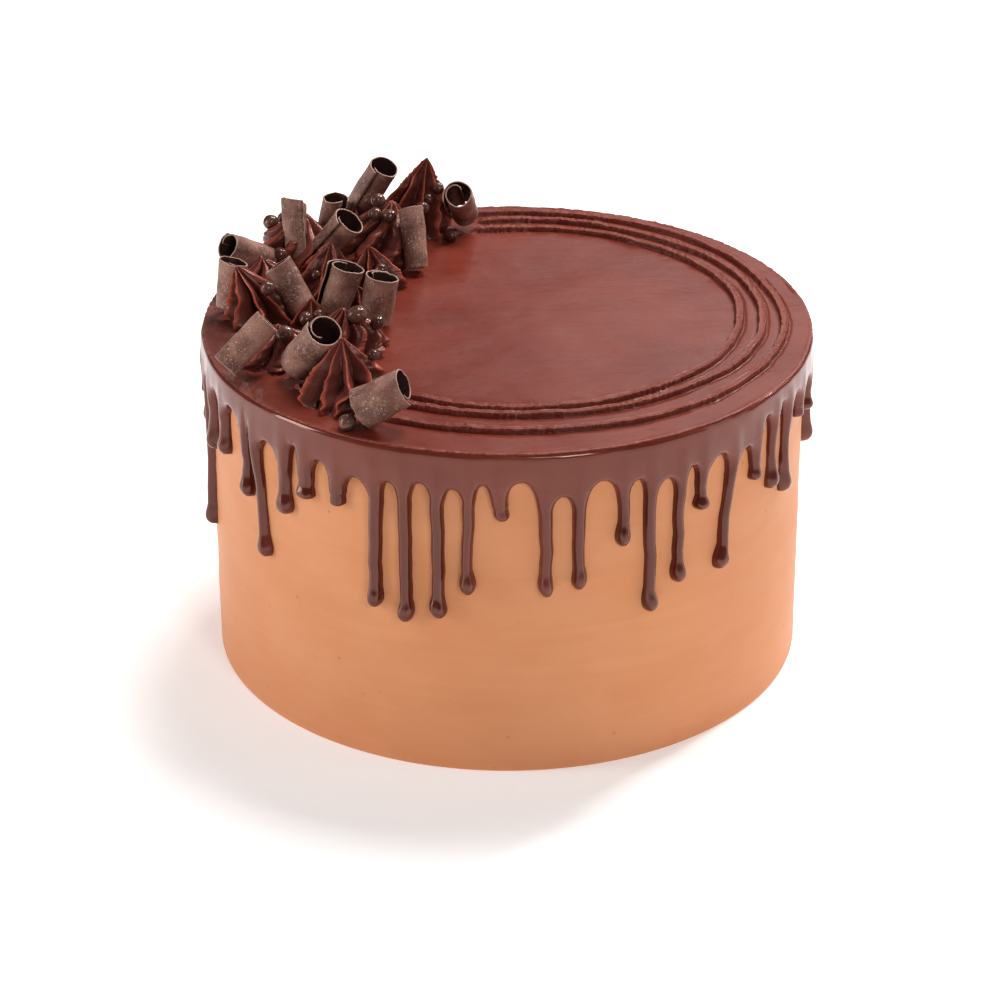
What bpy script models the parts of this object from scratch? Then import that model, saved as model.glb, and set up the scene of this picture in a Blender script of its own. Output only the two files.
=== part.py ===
"""Chocolate drip cake: a round layer cake frosted with buttercream, topped with ganache.

Blender 4.5, metres, +Z up. The origin is the middle of the base, and -Y is the cake's front.
Each piece is one closed solid: the frosted body, the disc of icing on top with its three
piped ridges, the glaze that runs down the side in drips, the piped rosettes of the crescent
along the left edge, and the rolled chocolate curls laid on them. The small chocolate pearls
are fused to the rosette, or to the icing, on which they lie.
"""
import math

import bmesh
import bpy
import numpy as np
from mathutils import Vector
from mathutils.bvhtree import BVHTree

MM = 0.001
GAP = 0.3 * MM                      # clearance between neighbouring pieces
MERGE = 0.001 * MM                  # points closer than this are one point

# Frosted body
CAKE_RADIUS = 110.0 * MM            # at the base
CAKE_DRAFT = 0.7 * MM               # how much narrower the side is at the top
CAKE_HEIGHT = 127.0 * MM            # from the base to the flat top of the icing
BASE_ROUND = 1.2 * MM
BODY_SIDES = 72

# Icing on top
ICING_THICKNESS = 2.7 * MM
ICING_RIM_RADIUS = 111.0 * MM
ICING_SIDES = 64
RIDGE_WIDTH = 2.6 * MM
RIDGE_HEIGHT = 1.7 * MM
RIDGE_FADE = 3.0 * MM               # a ridge sinks away over this length beside a topping
RIDGES = (                          # centre x, centre y, radius, wave phase
    (4.0 * MM, 6.0 * MM, 82.0 * MM, 0.3),
    (5.0 * MM, 6.8 * MM, 89.0 * MM, 1.9),
    (3.0 * MM, 4.5 * MM, 99.0 * MM, 4.1),
)

# Glaze running over the edge
BAND_TOP = CAKE_HEIGHT - 0.4 * MM
BAND_TOP_RADIUS = 112.4 * MM
BAND_THICKNESS = 3.6 * MM
NECK_RELIEF = 3.2 * MM
BULB_RELIEF = 4.4 * MM
ARCH_ROLL = 2.0 * MM                # how far above an arch the band has its full thickness
ARCH_DEPTH = 7.0 * MM               # from the top of an arch down to a drip's narrow neck
BULB_LENGTH = 8.0 * MM
SHORT_DRIP_ARCH = 0.4               # of a short drip's length, in place of ARCH_DEPTH
SHORT_DRIP_BULB = 0.6               # of what is left of a short drip, in place of BULB_LENGTH
ARCH_ROWS = (0.15, 0.6)             # rows of points between an arch and the neck
BELLY = 0.42                        # height of the bulb's widest place, as a share of the bulb
CHIN = 0.12
CHIN_WIDTH = 0.36                   # of the bulb's width
CHIN_RELIEF = 0.7                   # of the bulb's relief
TIP_RELIEF = 0.25
DRIPS = (   # angle of the tip, sideways lean at its top, height of the tip, neck, bulb, next arch
    (-173.6, 0.0, 102.9, 4.6, 5.6, 116.0),
    (-170.0, 0.0, 52.2, 3.9, 5.2, 115.0),
    (-164.1, 0.0, 88.8, 4.6, 5.8, 116.0),
    (-155.7, 0.0, 93.9, 4.8, 6.2, 116.4),
    (-146.3, 0.0, 85.2, 4.6, 6.2, 109.7),
    (-140.8, -2.4, 65.4, 4.2, 6.0, 112.1),
    (-134.7, 0.0, 87.2, 5.6, 6.8, 115.3),
    (-129.1, 0.0, 96.9, 6.6, 7.4, 113.4),
    (-121.9, 0.0, 98.1, 6.2, 6.8, 111.0),
    (-114.6, 0.3, 62.0, 5.2, 5.9, 111.8),
    (-108.7, 0.0, 58.4, 4.9, 6.2, 113.2),
    (-102.5, 0.0, 61.7, 4.9, 6.3, 112.0),
    (-97.3, 0.5, 71.8, 4.3, 6.0, 114.1),
    (-91.0, -0.8, 100.9, 5.6, 6.2, 115.3),
    (-83.0, -0.2, 70.9, 4.8, 5.5, 109.1),
    (-77.0, 0.0, 72.8, 4.6, 5.5, 113.7),
    (-68.8, 0.0, 87.3, 4.3, 5.5, 111.8),
    (-63.4, 0.0, 59.3, 4.5, 5.9, 109.8),
    (-57.4, 0.2, 68.0, 4.1, 5.8, 111.7),
    (-52.4, 0.0, 93.7, 4.1, 6.1, 112.4),
    (-47.4, 2.8, 66.9, 3.9, 6.2, 110.3),
    (-38.2, 0.4, 95.5, 4.4, 6.0, 117.8),
    (-31.8, 0.0, 87.0, 4.2, 5.8, 118.6),
    (-26.2, 0.0, 80.8, 4.2, 5.8, 117.3),
    (-18.6, 0.0, 104.4, 4.4, 5.6, 116.0),
    (-9.5, 0.0, 99.0, 4.4, 5.6, 115.6),
    (-3.0, 0.0, 79.8, 3.6, 5.4, 116.0),
)
BACK_DRIPS = 21                     # round the back, between the last and the first above
BACK_SEED = 11
BACK_STRAY = 1.2                    # degrees to each side of its even place
BACK_LEAN = 0.6
BACK_LENGTHS = (14.0, 20.0, 27.0, 34.0, 42.0, 50.0)
BACK_START = 115.0                  # mm above the base, from which the lengths are measured
BACK_LENGTH_STRAY = 3.0
BACK_NECKS = (3.9, 5.2)
BACK_BULBS = (0.8, 1.6)             # how much wider than the neck a bulb is
BACK_ARCHES = (110.0, 117.0)

# Piped rosettes
ROSETTES = {
    # centre x, y, radius, height, peak's offset x, y (all mm), blades, twist in degrees, fullness
    "rosette_front": (-55.0, -67.5, 20.0, 22.0, -2.4, 2.0, 8, 6.0, 0.85),
    "rosette_rim": (-83.0, -32.5, 16.5, 12.5, 1.0, 0.0, 8, 40.0, 0.6),
    "rosette_inner": (-58.5, -25.0, 17.5, 17.0, 0.0, -4.0, 9, 55.0, 0.6),
    "rosette_small": (-71.5, -8.5, 11.5, 12.5, 0.0, -1.0, 7, 15.0, 0.8),
    "rosette_left": (-88.0, -1.0, 17.5, 21.0, -11.5, 3.0, 8, 12.0, 0.8),
    "rosette_nook": (-56.0, 7.0, 13.0, 11.0, 0.0, 0.0, 8, 30.0, 0.7),
    "rosette_side": (-92.0, 28.0, 14.0, 13.5, 0.0, 0.0, 8, 45.0, 0.6),
    "rosette_middle": (-69.0, 29.0, 14.5, 18.0, 3.0, 3.0, 7, 10.0, 0.8),
    "rosette_point": (-49.5, 29.5, 14.0, 17.5, -2.6, -0.6, 7, 10.0, 0.8),
    "rosette_edge": (-80.5, 49.5, 16.5, 20.5, 2.0, 2.0, 8, 50.0, 0.26),
    "rosette_swirl": (-51.0, 59.5, 18.5, 22.0, 6.6, 2.8, 8, 62.0, 0.48),
    "rosette_tall": (-37.6, 87.0, 17.5, 28.5, 6.4, 4.0, 8, 12.0, 0.68),
    "rosette_back": (-59.5, 80.5, 10.5, 13.5, 0.0, 0.0, 7, 40.0, 0.7),
}
BLADE_HALF_WIDTH = 0.25             # of the angle from one blade to the next
VALLEY_DEPTH = 0.56                 # of a blade's radius, above the foot
ROSETTE_LEVELS = (0.0, 0.1, 0.3, 0.52, 0.75, 0.92)
ROSETTE_BELLY = 0.10
FOOT_WIDTH = 0.88                   # of a rosette's radius, where it meets the icing
LEAN_POWER = 1.5                    # a peak leans the more, the higher it is
NEIGHBOUR_GAP = 0.55 * GAP          # each rosette's half of the clearance, and a little more

# Rolled curls: low end x, y, z, open end x, y, z, diameter at each end (mm), the seam's angle
# from the front in degrees, and the way the sheet rolls on from there (1 or -1)
CURLS = (
    ((-57.3, 85.3, 138.0), (-47.0, 76.6, 157.6), 11.0, 11.4, -25.0, -1),
    ((-16.8, 91.1, 132.1), (-19.0, 75.1, 146.7), 11.0, 11.0, -70.0, -1),
    ((-34.7, 43.2, 129.1), (-37.6, 53.9, 149.8), 7.8, 7.8, 80.0, -1),
    ((-70.4, 43.5, 136.6), (-58.6, 36.6, 151.6), 9.4, 12.2, -35.0, -1),
    ((-79.2, 42.5, 133.2), (-81.0, 51.5, 155.0), 9.2, 9.6, 35.0, -1),
    ((-69.3, 61.6, 132.0), (-65.7, 62.7, 151.0), 9.4, 9.6, 60.0, 1),
    ((-90.0, 36.9, 136.0), (-104.2, 23.8, 146.4), 9.4, 10.6, 150.0, 1),
    ((-102.3, 4.4, 130.4), (-100.4, 7.5, 148.0), 10.4, 10.8, 15.0, -1),
    ((-74.2, -2.4, 131.4), (-84.4, 4.7, 147.8), 10.8, 11.4, 180.0, 1),
    ((-64.4, -1.4, 130.6), (-58.0, -1.2, 149.2), 11.6, 12.6, -75.0, -1),
    ((-48.0, -5.8, 129.2), (-45.3, -5.1, 147.0), 11.6, 13.0, 162.0, 1),
    ((-73.4, -49.8, 132.6), (-63.1, -62.9, 151.0), 13.8, 12.2, -95.0, 1),
    ((-99.3, -52.7, 132.2), (-84.4, -45.2, 146.6), 10.4, 10.2, 160.0, 1),
    ((-50.3, -88.6, 133.4), (-34.5, -91.0, 143.6), 13.8, 11.2, 60.0, -1),
)
CURL_WALL = 0.9 * MM
CURL_TURNS = 1.25
CURL_EASE = 0.4 * MM                # the roll's outer edge stands this far outside its mean radius
CURL_SIDES = 10                     # for each full turn

# Chocolate pearls: x, y, diameter (mm)
PEARLS = (
    (-49.4, 62.0, 5.6),
    (-44.9, 53.4, 5.6),
    (-50.3, 55.6, 5.2),
    (-26.8, 82.6, 4.7),
    (-30.4, 81.6, 4.2),
    (-32.7, 74.4, 4.9),
    (-21.9, 75.7, 5.6),
    (-62.8, 79.4, 4.5),
    (-90.3, 56.9, 6.0),
    (-85.6, 35.6, 5.2),
    (-71.4, 22.9, 3.7),
    (-47.0, 22.0, 4.9),
    (-87.4, -6.0, 5.6),
    (-73.0, -16.2, 5.2),
    (-68.4, -13.8, 4.7),
    (-53.5, -32.1, 7.1),
    (-46.6, -28.0, 5.2),
    (-79.0, -39.2, 6.4),
    (-46.6, -66.0, 4.1),
    (-54.7, -92.3, 6.4),
    (-44.5, 76.0, 5.2),
    (-86.0, 62.5, 4.8),
)
PEARL_SINK = 0.30                   # how much of its radius a pearl sits in the icing
PEARL_DROP = 45.0 * MM              # a pearl is lowered from this height above the icing
PEARL_STEPS = 60
PEARL_SIDES = 7
PEARL_ROWS = 4
SCRAP_LENGTH = 0.01 * MM            # edges shorter than this are dissolved after a cut


def smoothstep(value):
    """Rise smoothly from 0 to 1 as value goes from 0 to 1."""
    value = np.clip(value, 0.0, 1.0)
    return value * value * (3.0 - 2.0 * value)


def material(name, colour, roughness):
    """A plain Principled material."""
    result = bpy.data.materials.new(name)
    result.use_nodes = True
    shader = result.node_tree.nodes["Principled BSDF"]
    shader.inputs["Base Color"].default_value = (*colour, 1.0)
    shader.inputs["Roughness"].default_value = roughness
    shader.inputs["Metallic"].default_value = 0.0
    return result


def make_object(name, vertices, faces, finish, sharp=35.0):
    """Make a smooth-shaded object whose face normals all point outwards."""
    mesh = bpy.data.meshes.new(name)
    mesh.from_pydata([tuple(vertex) for vertex in vertices], [], faces)
    shape = bmesh.new()
    shape.from_mesh(mesh)
    bmesh.ops.remove_doubles(shape, verts=shape.verts, dist=MERGE)
    bmesh.ops.recalc_face_normals(shape, faces=shape.faces)
    shape.to_mesh(mesh)
    shape.free()
    mesh.materials.append(finish)
    mesh.shade_smooth()
    mesh.set_sharp_from_angle(angle=math.radians(sharp))
    result = bpy.data.objects.new(name, mesh)
    bpy.context.collection.objects.link(result)
    return result


def stack_faces(levels, sides):
    """Faces of a stack of closed rings, the first and last of them capped."""
    faces = [tuple(reversed(range(sides)))]
    for level in range(levels - 1):
        for side in range(sides):
            low = level * sides
            after = (side + 1) % sides
            faces.append((low + side, low + after, low + sides + after, low + sides + side))
    faces.append(tuple(range((levels - 1) * sides, levels * sides)))
    return faces


def circle(sides):
    """Angles of the corners of a regular polygon."""
    return np.arange(sides) * 2.0 * math.pi / sides


def body_radius(height):
    """Radius of the frosted side, which narrows evenly towards the top."""
    return CAKE_RADIUS - CAKE_DRAFT * height / CAKE_HEIGHT


# The frosted body

def build_body(finish):
    """A turned solid with a small round at the foot."""
    top = CAKE_HEIGHT - ICING_THICKNESS - GAP
    profile = (
        (CAKE_RADIUS - BASE_ROUND, 0.0),
        (CAKE_RADIUS - 0.3 * BASE_ROUND, 0.3 * BASE_ROUND),
        (body_radius(BASE_ROUND), BASE_ROUND),
        (body_radius(top), top),
    )
    angles = circle(BODY_SIDES)
    rings = [np.column_stack((radius * np.cos(angles), radius * np.sin(angles),
                              np.full(BODY_SIDES, height))) for radius, height in profile]
    make_object("cake_body", np.concatenate(rings), stack_faces(len(profile), BODY_SIDES), finish)


# The icing on top

def topping_clearance(x, y):
    """0 under a rosette or a curl's foot, rising to 1 on the open icing."""
    clear = np.ones_like(x)
    feet = [(row[0] * MM, row[1] * MM, row[2] * MM) for row in ROSETTES.values()]
    feet += [(low[0] * MM, low[1] * MM, 0.5 * low_width * MM + RIDGE_WIDTH)
             for low, _, low_width, *_ in CURLS]
    for foot_x, foot_y, foot_radius in feet:
        distance = np.hypot(x - foot_x, y - foot_y) - foot_radius
        clear = clear * smoothstep(distance / RIDGE_FADE)
    return clear


def ridge_radius(ridge, angles):
    """A ridge's radius about its own centre, with the slow waver of a hand-turned comb."""
    _, _, radius, phase = ridge
    return radius + 0.5 * MM * np.sin(3.0 * angles + phase) + 0.3 * MM * np.sin(7.0 * angles - phase)


def build_icing(finish):
    """A flat disc with an undercut rim and three raised ridges."""
    angles = circle(ICING_SIDES)
    bottom = CAKE_HEIGHT - ICING_THICKNESS
    rings = []
    for ridge in RIDGES:
        for step in (-0.5, 0.0, 0.5):
            radius = ridge_radius(ridge, angles) + step * RIDGE_WIDTH
            x = ridge[0] + radius * np.cos(angles)
            y = ridge[1] + radius * np.sin(angles)
            lift = RIDGE_HEIGHT * topping_clearance(x, y) if step == 0.0 else 0.0
            rings.append(np.column_stack((x, y, CAKE_HEIGHT + lift + 0.0 * x)))
    for radius, height in ((ICING_RIM_RADIUS - 1.0 * MM, CAKE_HEIGHT),
                           (ICING_RIM_RADIUS, CAKE_HEIGHT - 0.5 * MM),
                           (body_radius(bottom), bottom)):
        rings.append(np.column_stack((radius * np.cos(angles), radius * np.sin(angles),
                                      np.full(ICING_SIDES, height))))
    make_object("top_icing", np.concatenate(rings), stack_faces(len(rings), ICING_SIDES), finish)


# The glaze and its drips

def all_drips():
    """The drips in order of angle, the back ones drawn evenly spaced with a seeded unevenness."""
    draw = np.random.default_rng(BACK_SEED)
    drips = list(DRIPS)
    start = DRIPS[-1][0]
    step = (360.0 + DRIPS[0][0] - start) / (BACK_DRIPS + 1)
    for number in range(BACK_DRIPS):
        angle = start + step * (number + 1) + draw.uniform(-BACK_STRAY, BACK_STRAY)
        length = draw.choice(BACK_LENGTHS) + draw.uniform(-BACK_LENGTH_STRAY, BACK_LENGTH_STRAY)
        neck = draw.uniform(*BACK_NECKS)
        arch = draw.uniform(*BACK_ARCHES)
        lean = draw.uniform(-BACK_LEAN, BACK_LEAN)
        drips.append((angle, lean, BACK_START - length, neck, neck + draw.uniform(*BACK_BULBS), arch))
    return drips


def glaze_inner_radius(height):
    """The glaze's back: clear of the frosted side, and of the undercut rim of the icing."""
    if height > CAKE_HEIGHT - ICING_THICKNESS:
        return ICING_RIM_RADIUS + 1.2 * GAP
    return body_radius(height) + GAP


def glaze_point(angle, height, relief):
    """A point at an angle in degrees and a height, so far proud of the glaze's back."""
    radius = glaze_inner_radius(height) + relief
    return (radius * math.cos(math.radians(angle)), radius * math.sin(math.radians(angle)), height)


def build_drip(drip, left_angle, right_angle, left_arch, right_arch):
    """One drip with its share of the band, as vertices and faces.

    A row of five points runs across the front at each height, from the left edge to the right
    one. The band's edges are shared with the neighbouring drips. Below the arches the front
    and the back meet in the edge, and the half-width falls on a quarter ellipse to the neck,
    swells to the bulb and closes in the tip.
    """
    tip_angle, lean, tip, neck, bulb, _ = drip
    tip, neck, bulb = tip * MM, neck * MM, bulb * MM
    degrees_per_metre = math.degrees(1.0 / (CAKE_RADIUS + GAP))
    top_angle = tip_angle + lean
    arches = (left_arch * MM, right_arch * MM)
    neck_top = min(arches) - min(ARCH_DEPTH, SHORT_DRIP_ARCH * (min(arches) - tip))
    bulb_top = tip + min(BULB_LENGTH, SHORT_DRIP_BULB * (neck_top - tip))
    across = (-1.0, -0.6, 0.0, 0.6, 1.0)
    edges = (left_angle, right_angle)
    gaps = tuple(abs(edge - top_angle) / degrees_per_metre for edge in edges)
    vertices = []

    def row(heights, half_widths, relief, power, floor=0.0):
        """Five points; relief falls towards the edges as the given power of the distance."""
        middle = 0.5 * (heights[0] + heights[1])
        fall = (middle - tip) / (0.5 * sum(arches) - tip)
        centre = tip_angle + lean * max(0.0, fall)
        for place in across:
            side = 0 if place < 0.0 else 1
            height = middle + (heights[side] - middle) * abs(place)
            angle = centre + place * half_widths[side] * degrees_per_metre
            if half_widths[side] < 0.0:
                angle = top_angle + (edges[side] - top_angle) * abs(place)
            depth = floor + (relief - floor) * math.sqrt(max(0.0, 1.0 - abs(place) ** power))
            vertices.append(glaze_point(angle, height, depth))

    band = (-1.0, -1.0)
    rim_relief = BAND_TOP_RADIUS - glaze_inner_radius(BAND_TOP)
    row((BAND_TOP, BAND_TOP), band, rim_relief, 2.0, floor=rim_relief)
    row(tuple(arch + ARCH_ROLL for arch in arches), band, BAND_THICKNESS, 2.0, floor=BAND_THICKNESS)
    row(arches, band, BAND_THICKNESS, 6.0)
    for share in ARCH_ROWS:
        width = tuple(0.5 * neck + (gap - 0.5 * neck) * (1.0 - math.sqrt(1.0 - (1.0 - share) ** 2))
                      for gap in gaps)
        row(tuple(arch + (neck_top - arch) * share for arch in arches), width,
            BAND_THICKNESS + (NECK_RELIEF - BAND_THICKNESS) * share, 4.0 - 2.0 * share)
    row((bulb_top, bulb_top), (0.5 * neck, 0.5 * neck), NECK_RELIEF, 2.0)
    belly = tip + BELLY * (bulb_top - tip)
    row((belly, belly), (0.5 * bulb, 0.5 * bulb), BULB_RELIEF, 2.0)
    chin = tip + CHIN * (bulb_top - tip)
    row((chin, chin), (CHIN_WIDTH * bulb, CHIN_WIDTH * bulb), CHIN_RELIEF * BULB_RELIEF, 2.0)

    rows = len(vertices) // len(across)
    vertices.append(glaze_point(tip_angle, tip, TIP_RELIEF * BULB_RELIEF))
    point = len(vertices) - 1
    back = []
    for heights in ((BAND_TOP, BAND_TOP), tuple(arch + ARCH_ROLL for arch in arches), arches):
        middle = 0.5 * (heights[0] + heights[1])
        line = [len(vertices)]
        vertices.append(glaze_point(left_angle, heights[0], 0.0))
        line.append(len(vertices))
        vertices.append(glaze_point(top_angle, middle, 0.0))
        line.append(len(vertices))
        vertices.append(glaze_point(right_angle, heights[1], 0.0))
        back.append(line)

    last = len(across) - 1
    faces = []
    for level in range(rows - 1):
        for column in range(last):
            start = level * len(across) + column
            faces.append((start, start + len(across), start + len(across) + 1, start + 1))
    for column in range(last):
        start = (rows - 1) * len(across) + column
        faces.append((start, point, start + 1))
    faces.append((0, 1, 2, back[0][1], back[0][0]))
    faces.append((2, 3, 4, back[0][2], back[0][1]))
    for upper, lower in zip(back, back[1:]):
        faces.append((upper[0], upper[1], lower[1], lower[0]))
        faces.append((upper[1], upper[2], lower[2], lower[1]))
    third = 3 * len(across)
    faces.append((back[2][0], back[2][1], back[2][2], third + last, third))
    for level in range(3, rows - 1):
        start = level * len(across)
        faces.append((start, start + last, start + len(across) + last, start + len(across)))
    start = (rows - 1) * len(across)
    faces.append((start, start + last, point))
    return vertices, faces


def build_glaze(finish):
    """The drips side by side all the way round, joined where their bands meet."""
    drips = all_drips()
    count = len(drips)
    tops = [drip[0] + drip[1] for drip in drips]
    vertices = []
    faces = []
    for number, drip in enumerate(drips):
        before = tops[number - 1] - (360.0 if number == 0 else 0.0)
        after = tops[(number + 1) % count] + (360.0 if number == count - 1 else 0.0)
        left_angle = 0.5 * (before + tops[number])
        right_angle = 0.5 * (tops[number] + after)
        left_arch = drips[number - 1][5]
        points, polygons = build_drip(drip, left_angle, right_angle, left_arch, drip[5])
        faces += [tuple(corner + len(vertices) for corner in polygon) for polygon in polygons]
        vertices += points
    make_object("drip_glaze", vertices, faces, finish)


# The rosettes

def cell_limits(name):
    """The planes between a rosette and its neighbours: a direction and a distance for each."""
    x, y, radius = ROSETTES[name][:3]
    limits = []
    for other, row in ROSETTES.items():
        apart = math.hypot(row[0] - x, row[1] - y)
        if other == name or apart > radius + row[2] + 1.0:
            continue
        reach = (apart ** 2 + radius ** 2 - row[2] ** 2) / (2.0 * apart)
        limits.append(((row[0] - x) / apart, (row[1] - y) / apart, reach * MM - NEIGHBOUR_GAP))
    return limits


def build_rosette(name, finish):
    """A piped star: blades that rise from a round foot to one leaning, twisted peak.

    At each height h a blade's radius is the foot's radius times (1 - h) to the fullness, with a
    slight belly, the valleys between the blades are a share of that, and the whole ring is
    drawn in towards its own axis wherever it would cross into a neighbour.
    """
    x, y, radius, height, lean_x, lean_y, blades, twist, fullness = ROSETTES[name]
    radius, height = radius * MM, height * MM
    spacing = 2.0 * math.pi / blades
    angles = []
    shares = []
    for blade in range(blades):
        for step, share in ((-BLADE_HALF_WIDTH, 0.0), (0.0, 1.0), (BLADE_HALF_WIDTH, 0.0)):
            angles.append((blade + step) * spacing)
            shares.append(share)
    angles = np.array(angles)
    shares = np.array(shares)
    foot = CAKE_HEIGHT + GAP
    rings = []
    for level in ROSETTE_LEVELS:
        crest = radius * (1.0 - level) ** fullness
        crest *= 1.0 + ROSETTE_BELLY * math.sin(math.pi * level) if level else FOOT_WIDTH
        depth = VALLEY_DEPTH * smoothstep(0.35 + 2.0 * level)
        reach = crest * (1.0 - depth * (1.0 - shares))
        turned = angles + math.radians(twist) * level
        lean = level ** LEAN_POWER
        across = reach * np.cos(turned) + lean * lean_x * MM
        along = reach * np.sin(turned) + lean * lean_y * MM
        axis = np.array((lean * lean_x * MM, lean * lean_y * MM))
        shrink = np.ones_like(reach)
        for way_x, way_y, limit in cell_limits(name):
            out = (across - axis[0]) * way_x + (along - axis[1]) * way_y
            room = max(limit - axis[0] * way_x - axis[1] * way_y, 0.5 * MM)
            shrink = np.minimum(shrink, room / np.maximum(out, room))
        across = axis[0] + (across - axis[0]) * shrink
        along = axis[1] + (along - axis[1]) * shrink
        rings.append(np.column_stack((x * MM + across, y * MM + along,
                                      np.full(len(angles), foot + level * height))))
    vertices = list(np.concatenate(rings))
    faces = stack_faces(len(rings), len(angles))
    cap = faces.pop()
    vertices.append(((x + lean_x) * MM, (y + lean_y) * MM, foot + height))
    for corner, after in zip(cap, cap[1:] + cap[:1]):
        faces.append((corner, after, len(vertices) - 1))
    return make_object(name, vertices, faces, finish, sharp=30.0)


# The curls

def curl_frame(low, high):
    """A curl's ends, its direction, the direction across it nearest the front, and the third."""
    low = Vector(low) * MM
    high = Vector(high) * MM
    along = (high - low).normalized()
    front = Vector((0.0, -1.0, 0.0))
    front = (front - along * along.dot(front)).normalized()
    return low, high, along, front, along.cross(front)


def build_curl(number, row, finish):
    """A sheet rolled into a spiral tube, wider or narrower at one end."""
    low, high, low_width, high_width, seam, way = row
    low, high, _, front, other = curl_frame(low, high)
    steps = int(round(CURL_SIDES * CURL_TURNS)) + 1
    turn = np.arange(steps) * 2.0 * math.pi / CURL_SIDES
    angles = math.radians(seam) + way * turn
    vertices = []
    for end, width in ((low, low_width), (high, high_width)):
        spiral = 0.5 * width * MM + CURL_EASE - (CURL_WALL + GAP) * turn / (2.0 * math.pi)
        for radius in (spiral, spiral - CURL_WALL):
            for reach, angle in zip(radius.tolist(), angles.tolist()):
                vertices.append(end + reach * (math.cos(angle) * front + math.sin(angle) * other))
    faces = []
    for step in range(steps - 1):
        outer, inner = step, steps + step
        far_outer, far_inner = 2 * steps + step, 3 * steps + step
        faces.append((outer, outer + 1, far_outer + 1, far_outer))
        faces.append((inner, inner + 1, far_inner + 1, far_inner))
        faces.append((outer, outer + 1, inner + 1, inner))
        faces.append((far_outer, far_outer + 1, far_inner + 1, far_inner))
    for step in (0, steps - 1):
        faces.append((step, steps + step, 3 * steps + step, 2 * steps + step))
    make_object(f"curl_{number:02d}", vertices, faces, finish, sharp=40.0)


def curl_cutter(row):
    """A prism round a curl, with room all round it, that clears its bed in the rosettes."""
    low, high, low_width, high_width = row[:4]
    low, high, along, front, other = curl_frame(low, high)
    angles = circle(CURL_SIDES)
    vertices = []
    for end, width, shift in ((low, low_width, -GAP), (high, high_width, GAP)):
        reach = (0.5 * width * MM + CURL_EASE + GAP) / math.cos(math.pi / CURL_SIDES)
        for angle in angles.tolist():
            across = math.cos(angle) * front + math.sin(angle) * other
            vertices.append(end + shift * along + reach * across)
    return helper_object("curl_bed", vertices, stack_faces(2, CURL_SIDES))


# Pearls and fitting pieces to each other

def helper_object(name, vertices, faces):
    """A closed shape that is only an operand, and leaves no piece of its own."""
    mesh = bpy.data.meshes.new(name)
    mesh.from_pydata([tuple(vertex) for vertex in vertices], [], faces)
    shape = bmesh.new()
    shape.from_mesh(mesh)
    bmesh.ops.recalc_face_normals(shape, faces=shape.faces)
    shape.to_mesh(mesh)
    shape.free()
    result = bpy.data.objects.new(name, mesh)
    result.hide_render = True
    result.display_type = "WIRE"
    bpy.context.collection.objects.link(result)
    return result


def ball(centre, radius):
    """A small faceted ball."""
    shape = bmesh.new()
    bmesh.ops.create_uvsphere(shape, u_segments=PEARL_SIDES, v_segments=PEARL_ROWS, radius=radius)
    bmesh.ops.translate(shape, verts=shape.verts, vec=centre)
    vertices = [tuple(vertex.co) for vertex in shape.verts]
    faces = [tuple(vertex.index for vertex in face.verts) for face in shape.faces]
    shape.free()
    return helper_object("ball", vertices, faces)


def settle(trees, x, y, radius):
    """Lower a pearl at x, y until it sinks into a node, and name that node.

    Each step is the room that is left under the pearl, so the steps end where it touches.
    """
    height = CAKE_HEIGHT + PEARL_DROP
    for _ in range(PEARL_STEPS):
        centre = Vector((x, y, height))
        rooms = {name: tree.find_nearest(centre)[3] for name, tree in trees.items()}
        home = min(rooms, key=rooms.get)
        room = rooms[home] - radius * (1.0 - PEARL_SINK)
        height -= max(room, 0.0)
    return centre, home


def combine(node, operands, operation):
    """Apply one exact Boolean of a node with a collection of helpers, then drop the helpers."""
    if not operands:
        return
    group = bpy.data.collections.new("operands")
    for helper in operands:
        group.objects.link(helper)
    step = node.modifiers.new("fit", "BOOLEAN")
    step.operand_type = "COLLECTION"
    step.collection = group
    step.operation = operation
    step.solver = "EXACT"
    graph = bpy.context.evaluated_depsgraph_get()
    fitted = bpy.data.meshes.new_from_object(node.evaluated_get(graph))
    node.modifiers.clear()
    node.data = fitted
    bpy.data.collections.remove(group)
    for helper in operands:
        bpy.data.objects.remove(helper)


def keep_largest(node):
    """Drop loose scraps, keeping the connected piece with the most faces."""
    shape = bmesh.new()
    shape.from_mesh(node.data)
    bmesh.ops.dissolve_degenerate(shape, edges=shape.edges, dist=SCRAP_LENGTH)
    left = set(shape.faces)
    pieces = []
    while left:
        piece = set()
        edge_of_piece = [left.pop()]
        while edge_of_piece:
            face = edge_of_piece.pop()
            piece.add(face)
            for edge in face.edges:
                for neighbour in edge.link_faces:
                    if neighbour in left:
                        left.remove(neighbour)
                        edge_of_piece.append(neighbour)
        pieces.append(piece)
    pieces.sort(key=len)
    scraps = [face for piece in pieces[:-1] for face in piece]
    bmesh.ops.delete(shape, geom=scraps, context="FACES")
    loose = [edge for edge in shape.edges if not edge.link_faces]
    bmesh.ops.delete(shape, geom=loose, context="EDGES")
    shape.to_mesh(node.data)
    shape.free()


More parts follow.
